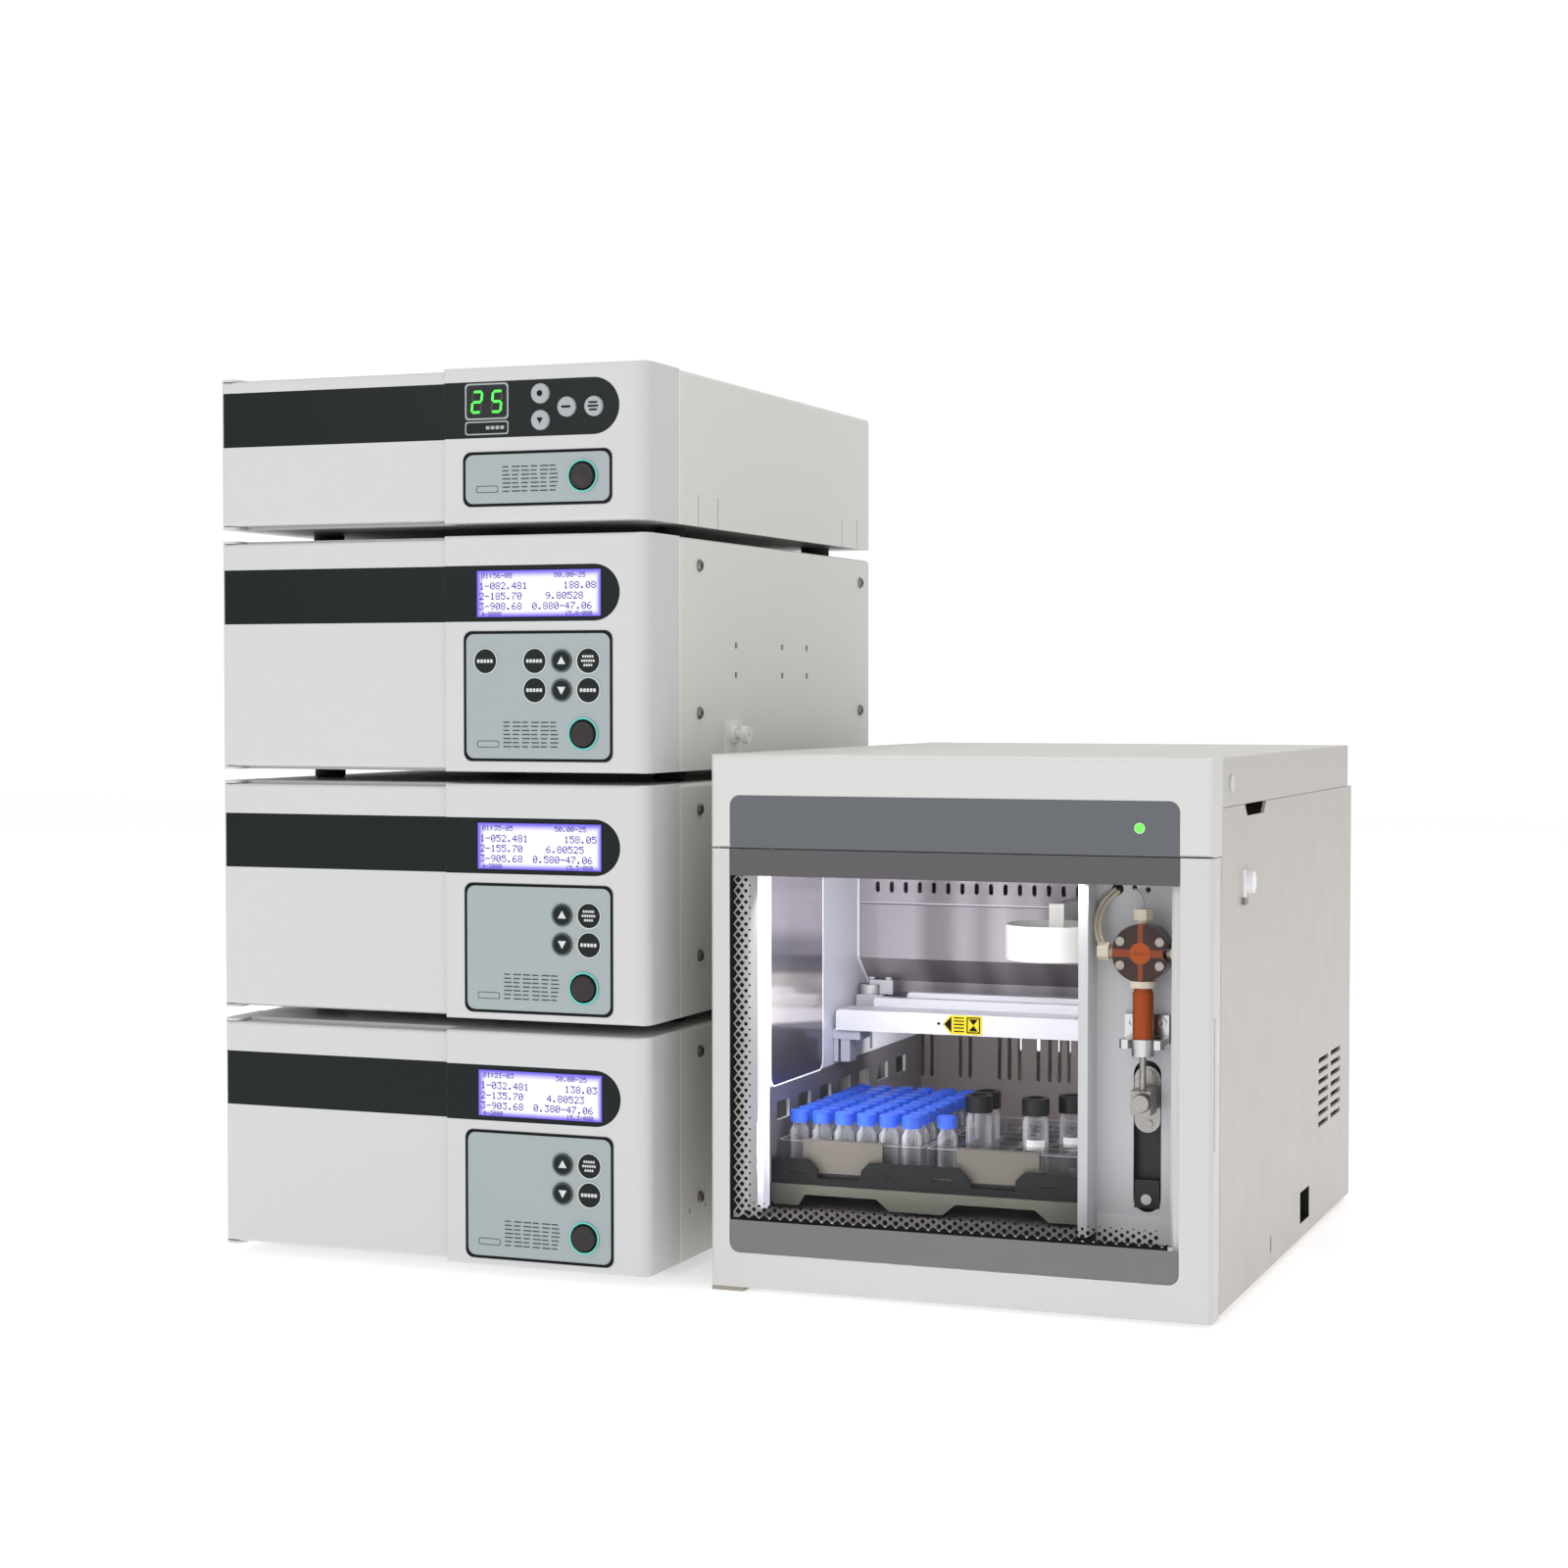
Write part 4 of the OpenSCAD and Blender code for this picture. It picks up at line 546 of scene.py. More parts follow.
def rims(outer, inner, front, back):
    """Flat frames between two outlines of n points: four loops, front out, front in, back in, back out."""
    outer, inner = np.asarray(outer, float), np.asarray(inner, float)
    m, n = outer.shape[:2]
    loops = np.stack([outer, inner, inner, outer], 1)
    depth = np.broadcast_to(np.array([front, front, back, back], float)[None, :, None], (m, 4, n))
    points = np.stack([loops[..., 0], depth, loops[..., 1]], -1).reshape(-1, 3)
    first = (np.arange(m) * 4 * n)[:, None, None]
    k, i = np.arange(4)[:, None], np.arange(n)[None]
    k2, j = (k + 1) % 4, (i + 1) % n
    quads = np.stack([first + k * n + i, first + k * n + j, first + k2 * n + j, first + k2 * n + i], -1)
    return points, quads.reshape(-1, 4).tolist()


def rims_of(outlines, inset, front, back):
    """Frames whose inner loop is the outline scaled towards its middle by the inset on each side."""
    outlines = np.asarray(outlines, float)
    low, high = outlines.min(1, keepdims=True), outlines.max(1, keepdims=True)
    middle, half = (low + high) / 2, (high - low) / 2
    return rims(outlines, middle + (outlines - middle) * (half - inset) / half, front, back)


def piece(name, groups, made, place=in_sampler, body="system"):
    """One object of several (points, faces) groups, placed by a function of drawing points."""
    points, faces, count = [], [], 0
    for corners, sides in groups:
        points.append(place(corners))
        faces += [[v + count for v in side] for side in sides]
        count += len(corners)
    mesh = bpy.data.meshes.new(name)
    mesh.from_pydata(np.concatenate(points).tolist(), [], faces)
    mesh.materials.append(made)
    thing = stand(name, mesh)
    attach(thing, body)
    return thing


def lifted(group, unit):
    """The same group raised to the floor of a unit."""
    return group[0] + [0, 0, FLOORS[unit]], group[1]


print("points of one rounded plate outline:", len(rounded(167, 262, 6.2, 81.6, 5)))

# %% [markdown]
# ## Key plates
# A screen printed line runs round each plate, a table of short strokes fills its middle, and a
# turquoise ring glows round the power button. The print is ink, so it is nearly flat; only the
# light ring gives light.

# %% Prints on the key plates
PLATES = {"lower_pump": (4.2, 79.6, 20.4), "upper_pump": (4.2, 79.6, 20.4),
          "detector": (6.2, 81.6, 22.4), "oven": (9.4, 41.0, 25.6)}    # foot, top, button
LCD_X = (175.1, 254.7)
LCD_Z = {"lower_pump": (87.4, 114.8), "upper_pump": (87.4, 114.8), "detector": (89.4, 116.8)}
PLATE_X = (167.1, 261.9)
PLATE_PRINT, BUTTON_PRINT = (-0.3, -0.21), (-1.1, -1.01)      # depths of front and back
DISC_PRINT, RING_PRINT, KEY_PRINT = (-0.82, -0.21), (-0.86, -0.83), (-0.92, -0.83)
BUTTON_X = 243.6
KEY_STEP = 16.8           # between the two rows of keys
ARROW_X = 230             # the column of the two arrow keys
ink = finish("black_screen_ink", "#0b0d0d", 0.45, grain_mm=0.4, relief_mm=0.003, tone=0.05,
             Specular_IOR_Level=0.15)
pale_ink = finish("pale_screen_ink", "#d9dddd", 0.4, grain_mm=0.4, relief_mm=0.003)
grey_ink = finish("grey_screen_ink", "#3c454a", 0.45, grain_mm=0.4, relief_mm=0.003, tone=0.1)
rim_shade_ink = finish("grey_rim_shade_ink", "#6f7a7b", 0.4, grain_mm=0.6, relief_mm=0.003)
key_lacquer = finish("dark_key_lacquer", "#18201e", 0.35, tone=0.06, Specular_IOR_Level=0.2)
light_ring = finish("turquoise_light_ring", "#4fbfb2", 0.3, grain_mm=1, relief_mm=0.002,
                    Emission_Color=linear("#4fc9bb"), Emission_Strength=0.3)


def ring(spots, outer, inner):
    """Outlines of circles of two radii round the same spots."""
    return [disc(x, z, outer) for x, z in spots], [disc(x, z, inner) for x, z in spots]


def plate_table(button_z):
    """Grid of short strokes, 6 x 7, whose lengths are 4.5 + 0.8 sin(1.7 x + 2.3 z)."""
    x, z = (g.ravel() for g in np.meshgrid(192.6 + np.arange(6) * 6.0, button_z - 8.0 + np.arange(7) * 2.35))
    wide = 4.5 + 0.8 * np.sin(x * 1.7 + z * 2.3)
    return np.stack([np.c_[x, z], np.c_[x + wide, z], np.c_[x + wide, z + 0.75], np.c_[x, z + 0.75]], 1)


edge, table, rings = [], [], []
for unit, (z0, z1, button_z) in PLATES.items():
    button = [(BUTTON_X, button_z)]
    outline = rounded(*PLATE_X, z0 + 0.1, z1 - 0.1, 5)
    edge.append(lifted(rims_of([outline], 1.6, *PLATE_PRINT), unit))
    edge.append(lifted(rims(*ring(button, 8.45, 7.65), *BUTTON_PRINT), unit))
    rings.append(lifted(rims(*ring(button, 9.3, 8.45), *BUTTON_PRINT), unit))
    table.append(lifted(plaques(plate_table(button_z), *PLATE_PRINT), unit))
    window = rounded(175.6, 189.8, button_z - 8.2, button_z - 4.2, 1.2, 4)
    table.append(lifted(rims_of([window], 0.4, *PLATE_PRINT), unit))
piece("plate_border_prints", edge, ink, on_units)
piece("plate_tables", table, grey_ink, on_units)
piece("power_light_rings", rings, light_ring, on_units)
print("strokes in one plate's table:", len(plate_table(0)))

# %% [markdown]
# ## Dark keys under the film
# A dark key is a lacquered disc. Two of them carry arrows and a fine grey double ring, which is painted shade
# of the embossed rim; the others carry plain bars and a pale ring.

# %% Membrane keys
key_discs, rim_shade_rings, white_rings, arrows, bars = ([] for _ in range(5))
for unit in LCD_Z:
    top = 64.2 if unit == "detector" else 62.2
    low = top - KEY_STEP
    arrowed = [(ARROW_X, top), (ARROW_X, low)]
    worded = [(247, top), (247, low)]
    if unit == "detector":
        worded += [(213, top), (213, low), (181.4, top)]
    discs = [disc(x, z, 6.2) for x, z in arrowed] + [disc(x, z, 7.0) for x, z in worded]
    key_discs.append(lifted(plaques(discs, *DISC_PRINT), unit))
    # painted shade: the grey double ring round each arrow key stands for its shaded embossed rim
    outer, inner = ([disc(x, z, r) for x, z in arrowed for r in two] for two in ((6.75, 5.8), (6.45, 5.55)))
    rim_shade_rings.append(lifted(rims(outer, inner, *RING_PRINT), unit))
    white_rings.append(lifted(rims(*ring(worded, 7.55, 7.02), -0.8, -0.21), unit))
    arrows.append(lifted(plaques([disc(ARROW_X, top - 0.4, 3.0, 3, np.pi / 2),
                                  disc(ARROW_X, low + 0.4, 3.0, 3, -np.pi / 2)], *KEY_PRINT), unit))
    # a row of n bars of height h at x, z: three rows on the top right key, one on the others
    lines = [(x, z + rise, n, h) for x, z in worded for n, rise, h in
             (((5, 2.5, 0.7), (6, 0.0, 0.7), (4, -2.5, 0.7)) if (x, z) == (247, top) else ((5, 0.0, 1.0),))]
    bars.append(lifted(plaques([rounded(x + (i - n / 2) * h * 2.1, x + (i - n / 2) * h * 2.1 + h * 1.6,
                                        z - h, z + h, 0.3, 3)
                                for x, z, n, h in lines for i in range(n)], *KEY_PRINT), unit))
piece("membrane_key_discs", key_discs, key_lacquer, on_units)
piece("membrane_rim_shade_rings", rim_shade_rings, rim_shade_ink, on_units)
piece("membrane_white_rings", white_rings, pale_ink, on_units)
piece("membrane_key_marks", arrows + bars, pale_ink, on_units)
print("membrane keys:", sum(len(g[0]) for g in key_discs) // 80)

# %% [markdown]
# ## Character displays
# The field of a backlit liquid crystal module is pale lilac and turns violet towards its
# edges, most at the top and the left. The sheet carries the distance from its edges as an
# attribute, which a colour ramp reads.

# %% Backlit fields
FIELD_DEPTH = (0.5, 0.58)
FIELD_GAP = 0.3


def backlight(unit):
    """Closed sheet over u x v: x and z run straight with u and v, the back is the same grid turned over."""
    (x0, x1), (z0, z1) = LCD_X, LCD_Z[unit]
    u, v = np.meshgrid(np.linspace(0, 1, 61), np.linspace(0, 1, 31))
    x = x0 + FIELD_GAP + (x1 - x0 - 2 * FIELD_GAP) * u
    z = z0 + FIELD_GAP + (z1 - z0 - 2 * FIELD_GAP) * v
    front, back = (np.stack([x, np.full_like(x, depth), z], -1) for depth in FIELD_DEPTH)
    rows, cols = x.shape
    k = np.arange(rows * cols).reshape(rows, cols)
    quad = np.stack([k[:-1, :-1], k[:-1, 1:], k[1:, 1:], k[1:, :-1]], -1).reshape(-1, 4)
    loop = np.concatenate([k[0], k[1:, -1], k[-1, -2::-1], k[-2:0:-1, 0]])
    after = np.roll(loop, -1)
    side = np.stack([loop, loop + k.size, after + k.size, after], -1)
    inward = np.minimum.reduce([(x - x0) * 0.75, x1 - x, z - z0, (z1 - z) * 0.8])
    return ((np.concatenate([front.reshape(-1, 3), back.reshape(-1, 3)]) + [0, 0, FLOORS[unit]],
             np.concatenate([quad, (quad + k.size)[:, ::-1], side]).tolist()),
            np.tile(inward.ravel(), 2))


def ramp_of(tree, share, stops):
    """Colour by a share from 0 to 1, through the given stops only: a new ramp's own two are removed."""
    ramp = add(tree, "ValToRGB", {"Fac": share})
    for at, colour in stops:
        stop = ramp.color_ramp.elements.new(at)
        stop.color = linear(colour)
    ramp.color_ramp.elements.remove(ramp.color_ramp.elements[-1])
    ramp.color_ramp.elements.remove(ramp.color_ramp.elements[0])
    return ramp


GLOW_REACH = 4.0          # how far the violet runs in from the edge
glow = finish("backlit_lilac_display", "#e9e4ff", 0.25, grain_mm=0.35, relief_mm=0.001, gloss=0.03,
              Emission_Strength=0.06)
tree = glow.node_tree
inward = add(tree, "Attribute", attribute_name="inward").outputs["Fac"]
feed(tree, ramp_of(tree, scaled(tree, inward, 0.0, 1.0, 0.0, GLOW_REACH),
                   ((0.0, "#5b4fe0"), (0.3, "#8a7cf2"), (0.55, "#c8bff4"), (1.0, "#dcd7f6"))),
     "Base Color", "Emission Color")
fields = [backlight(unit) for unit in LCD_Z]
lit = piece("display_backlights", [f[0] for f in fields], glow, on_units)
distance = lit.data.attributes.new("inward", "FLOAT", "POINT")
distance.data.foreach_set("value", np.concatenate([f[1] for f in fields]).astype(np.float32))
print("widest glow in from the edge:", round(float(max(f[1].max() for f in fields)), 1), "mm")

# %% [markdown]
# ## Figures on the displays
# Rows of plain figures in a 5 x 7 dot matrix: each dot is one tiny square prism, and a table
# of the ten digits, two hexadecimal figures to a row of dots, says which dots are dark.

# %% Dot matrix rows
DOTS = {"0": "0e11131519110e", "1": "040c040404040e", "2": "0e11010204081f", "3": "1f02040201110e",
        "4": "02060a121f0202", "5": "1f101e0101110e", "6": "0608101e11110e", "7": "1f010204080808",
        "8": "0e11110e11110e", "9": "0e11110f01020c", ".": "00000000000c0c", "-": "0000001f000000",
        ":": "000c0c000c0c00"}


def dot_row(text, x, z, pitch):
    """Squares at x + pitch (6 place + column), z + pitch row, one for each set bit of the digit's rows."""
    cells = [(6 * i + c, r) for i, ch in enumerate(text) if ch in DOTS for r in range(7)
             for c in range(5) if int(DOTS[ch][12 - 2 * r:14 - 2 * r], 16) >> (4 - c) & 1]
    spot = np.array(cells, float) * pitch + [x, z]
    square = np.array([[0, 0], [1, 0], [1, 1], [0, 1]]) * pitch
    return spot[:, None] + square


DOT_PRINT = (0.42, 0.49)
figures = []
for unit, seed in (("lower_pump", 3), ("upper_pump", 5), ("detector", 8)):
    z0 = LCD_Z[unit][0]
    rows = [("01:%02d-0%d" % (seed * 7, seed), 178.4, 22.6, 0.42), ("%d0.00-25" % seed, 225.0, 22.6, 0.42),
            ("1-0%d2.481" % seed, 177.0, 16.2, 0.58), ("1%d8.0%d" % (seed, seed), 231.0, 16.2, 0.58),
            ("2-1%d5.70" % seed, 177.0, 10.3, 0.58), ("%d.8052%d" % (seed + 1, seed), 219.5, 10.3, 0.58),
            ("3-90%d.68" % seed, 177.0, 4.4, 0.58), ("0.%d80-47.06" % seed, 211.0, 4.4, 0.58),
            ("4-%d080" % seed, 178.4, 0.9, 0.36), ("15.%d-080" % seed, 232.0, 0.9, 0.36)]
    dots = np.concatenate([dot_row(t, x, z + z0, pitch) for t, x, z, pitch in rows])
    figures.append(lifted(plaques(dots, *DOT_PRINT), unit))
violet = finish("violet_display_dots", "#3a1fae", 0.5, relief_mm=0.002, Specular_IOR_Level=0.1)
piece("display_figures", figures, violet, on_units)
print("dots drawn:", sum(len(g[0]) for g in figures) // 8)

# %% [markdown]
# ## Temperature display of the column oven
# Two light emitting digits of seven bars each, a little slanted, in a silver frame. A bar is
# a hexagon with pointed ends.

# %% Seven bar digits
def bar(x, z, length, thick, upright):
    """Hexagon along x, or along z for an upright bar, with ends pointed at 45 degrees."""
    h, l = thick / 2, length
    shape = np.array([[0, 0], [h, -h], [l - h, -h], [l, 0], [l - h, h], [h, h]])
    return (shape[::-1, ::-1] if upright else shape) + [x, z]


def digit(x, z, wide, tall, thick, bars):
    """The bars a to g of one digit, slanted by x = x + 0.1 z about its foot."""
    half = tall / 2
    places = {"a": (0, tall, 0), "b": (wide, half, 1), "c": (wide, 0, 1), "d": (0, 0, 0),
              "e": (0, 0, 1), "f": (0, half, 1), "g": (0, half, 0)}
    made, gap = [], 0.12
    for name in bars:
        bx, bz, up = places[name]
        length = (half if up else wide) - 2 * gap
        shape = bar(bx + (0 if up else gap), bz + (gap if up else 0), length, thick, up)
        made.append(np.c_[shape[:, 0] + 0.1 * shape[:, 1] + x, shape[:, 1] + z])
    return made


green = finish("green_emitting_bars", "#3ecb3e", 0.4, grain_mm=0.6, relief_mm=0.002,
               Emission_Color=linear("#48e048"), Emission_Strength=1.0)
dim = finish("unlit_bars", "#23332b", 0.3, grain_mm=0.6, relief_mm=0.002)
silver = finish("silver_frame_ink", "#a9aeb0", 0.35, grain_mm=0.4, relief_mm=0.003)
DIGIT = {"wide": 5.8, "tall": 11.8, "thick": 1.5}
LEFT_X, RIGHT_X, FOOT_Z = 172.4, 185.2, 64.0
BAR_PRINT, CAP_PRINT = (0.42, 0.48), (-1.28, -1.21)
lit_bars = digit(LEFT_X, FOOT_Z, **DIGIT, bars="abged") + digit(RIGHT_X, FOOT_Z, **DIGIT, bars="afgcd")
unlit_bars = digit(LEFT_X, FOOT_Z, **DIGIT, bars="cf") + digit(RIGHT_X, FOOT_Z, **DIGIT, bars="be")
piece("oven_display_lit", [lifted(plaques(lit_bars, *BAR_PRINT), "oven")], green, on_units)
piece("oven_display_unlit", [lifted(plaques(unlit_bars, *BAR_PRINT), "oven")], dim, on_units)
frames = [rims_of([rounded(168.2, 196.2, 59.6, 80.6, 2.2)], 0.95, 0.36, 0.5),
          rims_of([rounded(168.2, 196.2, 50.9, 58.7, 1.6)], 0.75, 0.36, 0.5)]
piece("oven_display_frames", [lifted(f, "oven") for f in frames], silver, on_units)
small_marks = [rounded(181.6 + 3.1 * k, 184.0 + 3.1 * k, 53.9, 55.9, 0.4, 3) for k in range(4)]
piece("oven_display_marks", [lifted(plaques(small_marks, 0.46, 0.52), "oven")], silver, on_units)
print("lit bars:", len(lit_bars), "unlit bars:", len(unlit_bars))

# %% Marks on the oven's four keys
oven_marks = {"up": [disc(216.8, 73.4, 1.7, 24)],
              "down": [disc(216.8, 58.4, 2.2, 3, -np.pi / 2)],
              "enter": [rounded(230.6, 236.4, 64.6, 65.8, 0.3, 3)],
              "run": [rounded(250.5 - half, 250.5 + half, 65 + rise - 0.5, 65 + rise + 0.5, 0.3, 3)
                      for half, rise in ((2.8, 2.1), (3.4, 0), (2.4, -2.1))]}
for key, marks in oven_marks.items():
    piece("oven_" + key + "_mark", [lifted(plaques(marks, *CAP_PRINT), "oven")], ink, on_units,
          "oven_" + key + "_key_cap")
print("marked keys:", len(oven_marks))

# %% [markdown]
# ## Hood, door and pane of the sampler
# A grey film fills the shallow recess of the hood, with a green lamp at its right. The pane
# carries grey strips of film along its top and its bottom.

# %% Films of the sampler
FILM_X = (12.0, 271.6)
FILM_R = 5.8
HOOD_FOOT, PANE_TOP, FRIT_TOP, FRIT_FOOT = 253.15, 252.4, 237.4, 41.0
PANE_FILM, FRIT = (0.3, 0.44), (0.34, 0.44)
hood_film = finish("grey_hood_film", "#5f6268", 0.4, relief_mm=0.003, tone=0.02)
outline = rounded(*FILM_X, HOOD_FOOT, 282.9, FILM_R)
outline[outline[:, 1] < HOOD_FOOT + FILM_R + 1, 1] = HOOD_FOOT        # square lower corners
piece("hood_film", [plaques([outline], 0.3, 0.46)], hood_film)
lens = finish("green_signal_lens", "#5de34a", 0.25, grain_mm=1, relief_mm=0.002,
              Emission_Color=linear("#5de34a"), Emission_Strength=0.8)
piece("signal_lens", [plaques([disc(249.7, 268.2, 2.6)], -0.55, -0.41)], lens)
top_film = rounded(*FILM_X, FRIT_TOP, PANE_TOP, 0.1, 2)
low_film = rounded(*FILM_X, 22.8, FRIT_FOOT, FILM_R)
low_film[low_film[:, 1] > 30, 1] = FRIT_FOOT                           # square upper corners
for name, outline, colour in (("top", top_film, "#565356"), ("bottom", low_film, "#757273")):
    film = finish("grey_pane_film_" + name, colour, 0.4, relief_mm=0.003, tone=0.02)
    piece("pane_" + name + "_film", [plaques([outline], *PANE_FILM)], film, in_sampler,
          "chamber_door")
print("height of the clear pane:", round(FRIT_TOP - FRIT_FOOT, 1), "mm")

# %% [markdown]
# ## Lozenges and dots
# The black edge of the pane is ceramic print. Its inner side is a zigzag, and beyond it
# lozenges and ever smaller dots stand in rows that are set half a step apart.

# %% Lozenges and dots along the pane
PITCH = 6.3
up = np.arange(46.0, 236.0, PITCH)
across = np.arange(17.0, 268.0, PITCH)
lozenges, dots = [], []
for x, phase, r in ((16.9, 0.0, 1.95), (19.2, 0.5, 1.6)):
    lozenges += [disc(x, z + phase * PITCH, r, 4) for z in up]
for x, phase, r in ((21.6, 0.0, 1.1), (23.9, 0.5, 0.65)):
    dots += [disc(x, z + phase * PITCH, r, 10) for z in up]
for z, phase, r in ((45.3, 0.0, 1.4), (47.6, 0.5, 1.2), (49.6, 0.0, 0.85), (51.3, 0.5, 0.45)):
    dots += [disc(x + phase * PITCH, z, r, 10) for x in across[1:-1]]
print("lozenges:", len(lozenges), "dots:", len(dots))


# %% Black edge with a zigzag side
def zigzag(steps, near, far):
    """Places every half pitch along the edge, and reaches that swing from near to far and back."""
    k = np.arange(len(steps) * 2)
    return steps[0] + k * PITCH / 2, np.where(k % 2 == 0, near, far)


left, foot = FILM_X[0], FRIT_FOOT
z, x = zigzag(up, 13.9, 16.4)
left_edge = [[[left, z0], [x0, z0], [x1, z1], [left, z1]] for x0, x1, z0, z1 in zip(x, x[1:], z, z[1:])]
left_edge += [[[left, foot], [13.9, foot], [13.9, up[0]], [left, up[0]]],
              [[left, z[-1]], [x[-1], z[-1]], [14.0, FRIT_TOP], [left, FRIT_TOP]]]
x, z = zigzag(across, 42.4, 44.6)
x, z = x[x < FILM_X[1]], z[x < FILM_X[1]]
low_edge = [[[x0, foot], [x1, foot], [x1, z1], [x0, z0]] for x0, x1, z0, z1 in zip(x, x[1:], z, z[1:])]
low_edge += [[[13.9, foot], [across[0], foot], [across[0], 42.4], [13.9, 42.4]]]
frit = finish("black_ceramic_frit", "#0a0b0c", 0.5, tone=0.06, Specular_IOR_Level=0.1)
edge_print = piece("pane_frit", [plaques(shapes, *FRIT) for shapes in (lozenges, dots, left_edge, low_edge)],
                   frit, in_sampler, "chamber_door")
edge_print.visible_shadow = False
print("teeth of the zigzag:", len(up) + len(x) // 2)

# %% [markdown]
# ## Light bar and polished panel
# A white strip light stands in the chamber's front left corner. Beside it a panel of the
# wall is polished nearly to a mirror. Its reflection is painted: the finish holds the broad level
# bands of the bright room by height, and a glowing white line along its edge is a painted highlight.

# %% Light bar
def loft(outlines, depths):
    """Skin over outlines of n points at rising depths, with the first and the last filled."""
    rings = np.stack([np.c_[o[:, 0], np.full(len(o), d), o[:, 1]] for o, d in zip(outlines, depths)])
    m, n = rings.shape[:2]
    k, i = np.arange(m - 1)[:, None] * n, np.arange(n)[None]
    j = (i + 1) % n
    sides = np.stack([k + i, k + n + i, k + n + j, k + j], -1).reshape(-1, 4)
    caps = [list(range(n)), list(range(m * n - 1, (m - 1) * n - 1, -1))]
    return rings.reshape(-1, 3), sides.tolist() + caps


def on_left_wall(points):
    """Turned a quarter about the upright: drawing x runs back along the wall, depth runs to the left."""
    p = np.asarray(points, float)
    return in_sampler(np.c_[-p[:, 1], p[:, 0], p[:, 2]])


strip = finish("white_strip_light_cover", "#f6f5ff", 0.35, grain_mm=0.6, relief_mm=0.002,
               Emission_Color=linear("#f4f2ff"))
tree = strip.node_tree
height = add(tree, "SeparateXYZ", {"Vector": here(tree)}).outputs["Z"]
feed(tree, scaled(tree, height, 0.3, 0.7, 45 * MM, 235 * MM), "Emission Strength")
LENS_X, LENS_Z = (16.2, 22.8), (42.6, 247.6)
bow = np.array([(2.0, 25.2), (1.1, 25.4), (0.5, 25.8), (0.1, 26.6), (0.0, 34.2)])    # inset, depth
lens_loops = [rounded(LENS_X[0] + i, LENS_X[1] - i, LENS_Z[0] + i, LENS_Z[1] - i, 1.0, 5) for i, _ in bow]
piece("chamber_light_bar", [loft(lens_loops, bow[:, 1])], strip)
print("light bar:", round(LENS_Z[1] - LENS_Z[0]), "mm high")

# %% Polished panel
LEAN = (0.0, 0.09, 1.0)          # the painted reflection bands sink a little towards the back
PANEL_FOOT, PANEL_HEIGHT = (16, 51, 110), 140
# painted reflection: level bands of the bright room, set by height
mirror = finish("polished_stainless_painted_reflection", "#c9c7d0", 0.12, metallic=0.55, relief_mm=0.001,
                stretch=(1, 0.05, 1), gloss=0.03)
tree = mirror.node_tree
level = add(tree, "VectorMath", {0: here(tree), 1: LEAN}, operation="DOT_PRODUCT")
foot = float(np.dot(in_sampler(PANEL_FOOT), LEAN))
feed(tree, ramp_of(tree, scaled(tree, level, 0.0, 1.0, foot, foot + PANEL_HEIGHT * MM), (
    (0.0, "#4c5184"), (0.10, "#5b5b6d"), (0.26, "#66646f"), (0.275, "#d8d2d0"), (0.47, "#dcd6d6"),
    (0.49, "#9a96a0"), (0.54, "#87848f"), (0.61, "#8f8c98"), (0.68, "#c4bfcb"), (0.885, "#cfcad6"),
    (0.893, "#a39fab"), (0.90, "#cbc4d0"), (1.0, "#d6cbd2"))), "Base Color")
panel = rounded(51.3, 138.7, 110.4, 246.2, 6)
piece("polished_panel", [plaques([panel], -16.78, -16.62)], mirror, on_left_wall)
# painted highlight: a glowing white line along the panel's edge
piece("polished_panel_edge_highlight", [rims_of([rounded(51.0, 139.4, 109.6, 246.6, 6.5)], 0.8, -16.95, -16.8)],
      finish("painted_edge_highlight", "#f2f2f5", 0.3, grain_mm=0.6, relief_mm=0.002,
             Emission_Color=linear("#f2f2f5"), Emission_Strength=0.7), on_left_wall)
print("panel foot at level", round(foot, 4), "m")

# %% [markdown]
# ## Foot of the valve panel
# The painted panel of the valve column ends at the floor in a paler strip of folded sheet, whose pale colour
# is painted light over the shade there.

# %% Foot sheet
# painted light: paler than the panel above, where the foot lies in shade
lit_foot_coat = finish("powder_coated_panel_foot_painted_light", "#d4d4d8", 0.4, grain_mm=0.8, relief_mm=0.008, tone=0.02)
sheet = rounded(212.2, 262.4, 33.0, 49.0, 0.3, 2)
piece("valve_panel_foot_painted_light", [plaques([sheet], 54.2, 54.8)], lit_foot_coat)
print("width and height:", np.ptp(sheet, axis=0).round(1), "mm")

# %% [markdown]
# ## Rack edges, vial labels and tag
# A fine pale frame along the top edge of each rack is a painted highlight, where acrylic gathers
# light in its edges. Two of the large vials carry a plain paper label: a part of a cylinder with some
# thickness, an arc out and an arc back; its faint glow is painted light. The beam carries a yellow tag with a
# plain arrow.

# %% Rack edges and vial labels
def on_plan(points):
    """Outline seen from above: its second number runs back and its depth runs down."""
    p = np.asarray(points, float)
    return in_sampler(np.c_[p[:, 0], p[:, 2], -p[:, 1]])


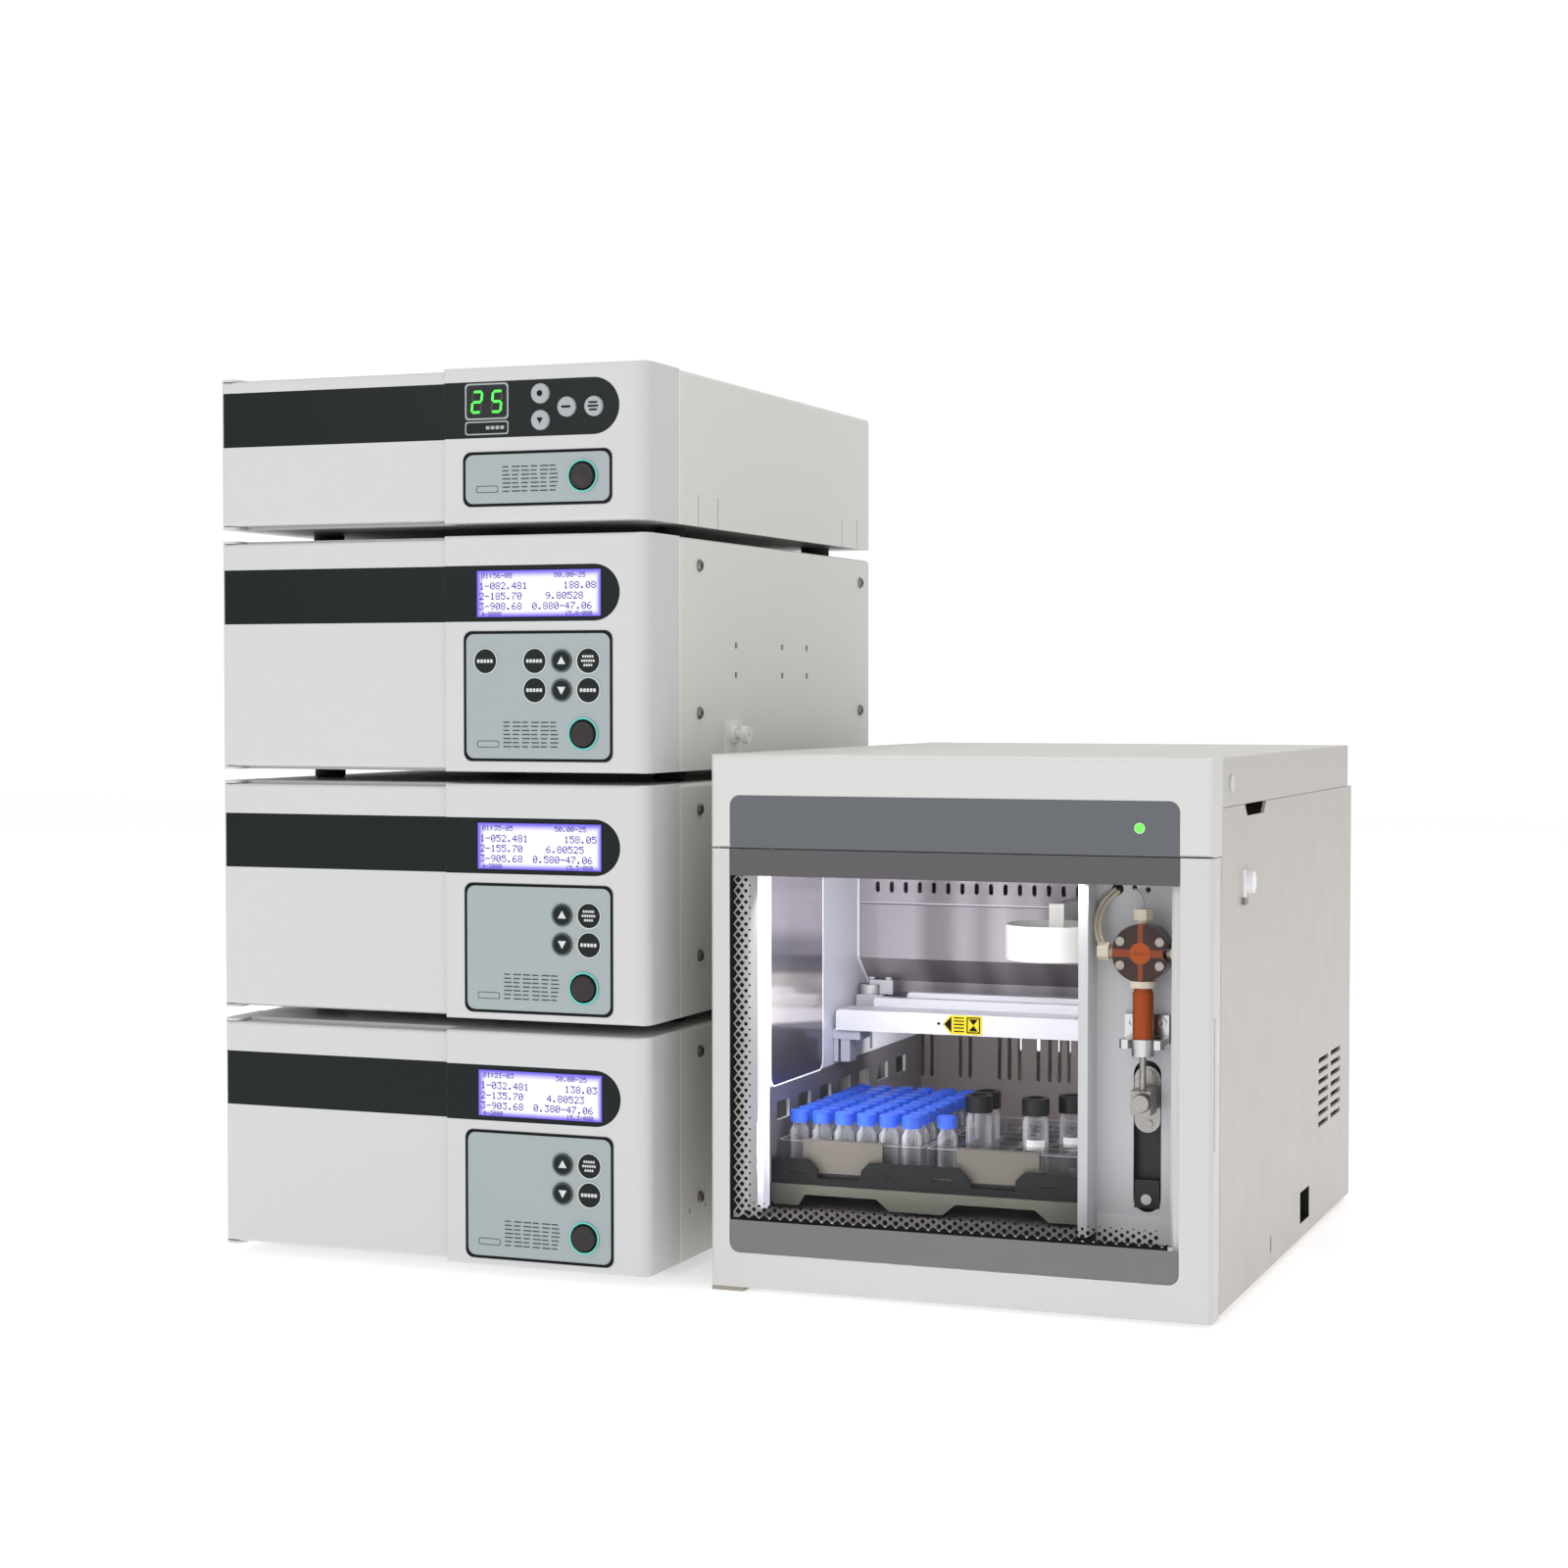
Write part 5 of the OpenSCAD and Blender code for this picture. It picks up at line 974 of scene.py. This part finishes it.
def cuff(x, y, r, low, high, turn, reach, n=24):
    """Arc of radius r round the upright at (x, y), reach radians to each side of turn, 0.1 mm thick."""
    a = np.linspace(turn - reach, turn + reach, n)
    arc = np.c_[np.cos(a), np.sin(a)]
    return plaques([np.concatenate([arc * (r + 0.1), arc[::-1] * r]) + [x, y]], -high, -low)


RACKS = [rounded(x, x + 89.0, 60.0, 190.2, 2.0) for x in (18.4, 109.6)]
LABELLED = ((165.6, 93.0), (182.8, 110.2))
# painted highlight: pale frames along the racks' top edges
acrylic_highlight = finish("acrylic_edge_painted_highlight", "#e9e9ee", 0.15, grain_mm=1, relief_mm=0.001)
piece("rack_edge_highlights", [rims_of(RACKS, 0.55, -78.3, -78.21)], acrylic_highlight, on_plan, "tray")
# painted light: the paper labels glow faintly though they are no lamp
paper = finish("white_paper_label_painted_glow", "#f6f6f6", 0.6, grain_mm=0.3, relief_mm=0.006,
               Emission_Color=linear("#ffffff"), Emission_Strength=0.15)
piece("vial_labels", [cuff(x, y, 7.56, 76.4, 82.2, -1.29, 0.75) for x, y in LABELLED], paper, on_plan,
      "tray")
print("racks:", len(RACKS), "labelled vials:", len(LABELLED))

# %% Tag on the beam
TAG_PRINT = (154.6, 154.69)
yellow = finish("yellow_paper_tag", "#e8cf1c", 0.55, grain_mm=0.3)
tag = [[88.6, 139.0], [94.0, 132.9], [113.9, 132.9], [113.9, 144.6], [94.0, 144.6]]
piece("beam_tag", [plaques([tag], 154.7, 154.9)], yellow)
marks = [[[89.9, 139.0], [94.6, 133.9], [94.6, 143.8]]]            # arrow
marks += [rounded(96.0, 102.6, z, z + 0.8, 0.2, 3) for z in (134.4, 136.5, 138.6, 140.7, 142.6)]
marks += [[[105.6, 135.2], [111.4, 135.2], [108.5, 138.7]],        # hourglass
          [[105.6, 142.5], [108.5, 138.9], [111.4, 142.5]]]
marks += [rounded(85.4, 87.4, 138.2, 139.9, 0.8, 4)]               # dot beside the tag
frame_round = rims_of([rounded(104.2, 112.8, 133.9, 143.7, 0.6, 3)], 0.8, *TAG_PRINT)
piece("beam_tag_print", [plaques([m], *TAG_PRINT) for m in marks] + [frame_round], ink)
print("marks on the tag:", len(marks))
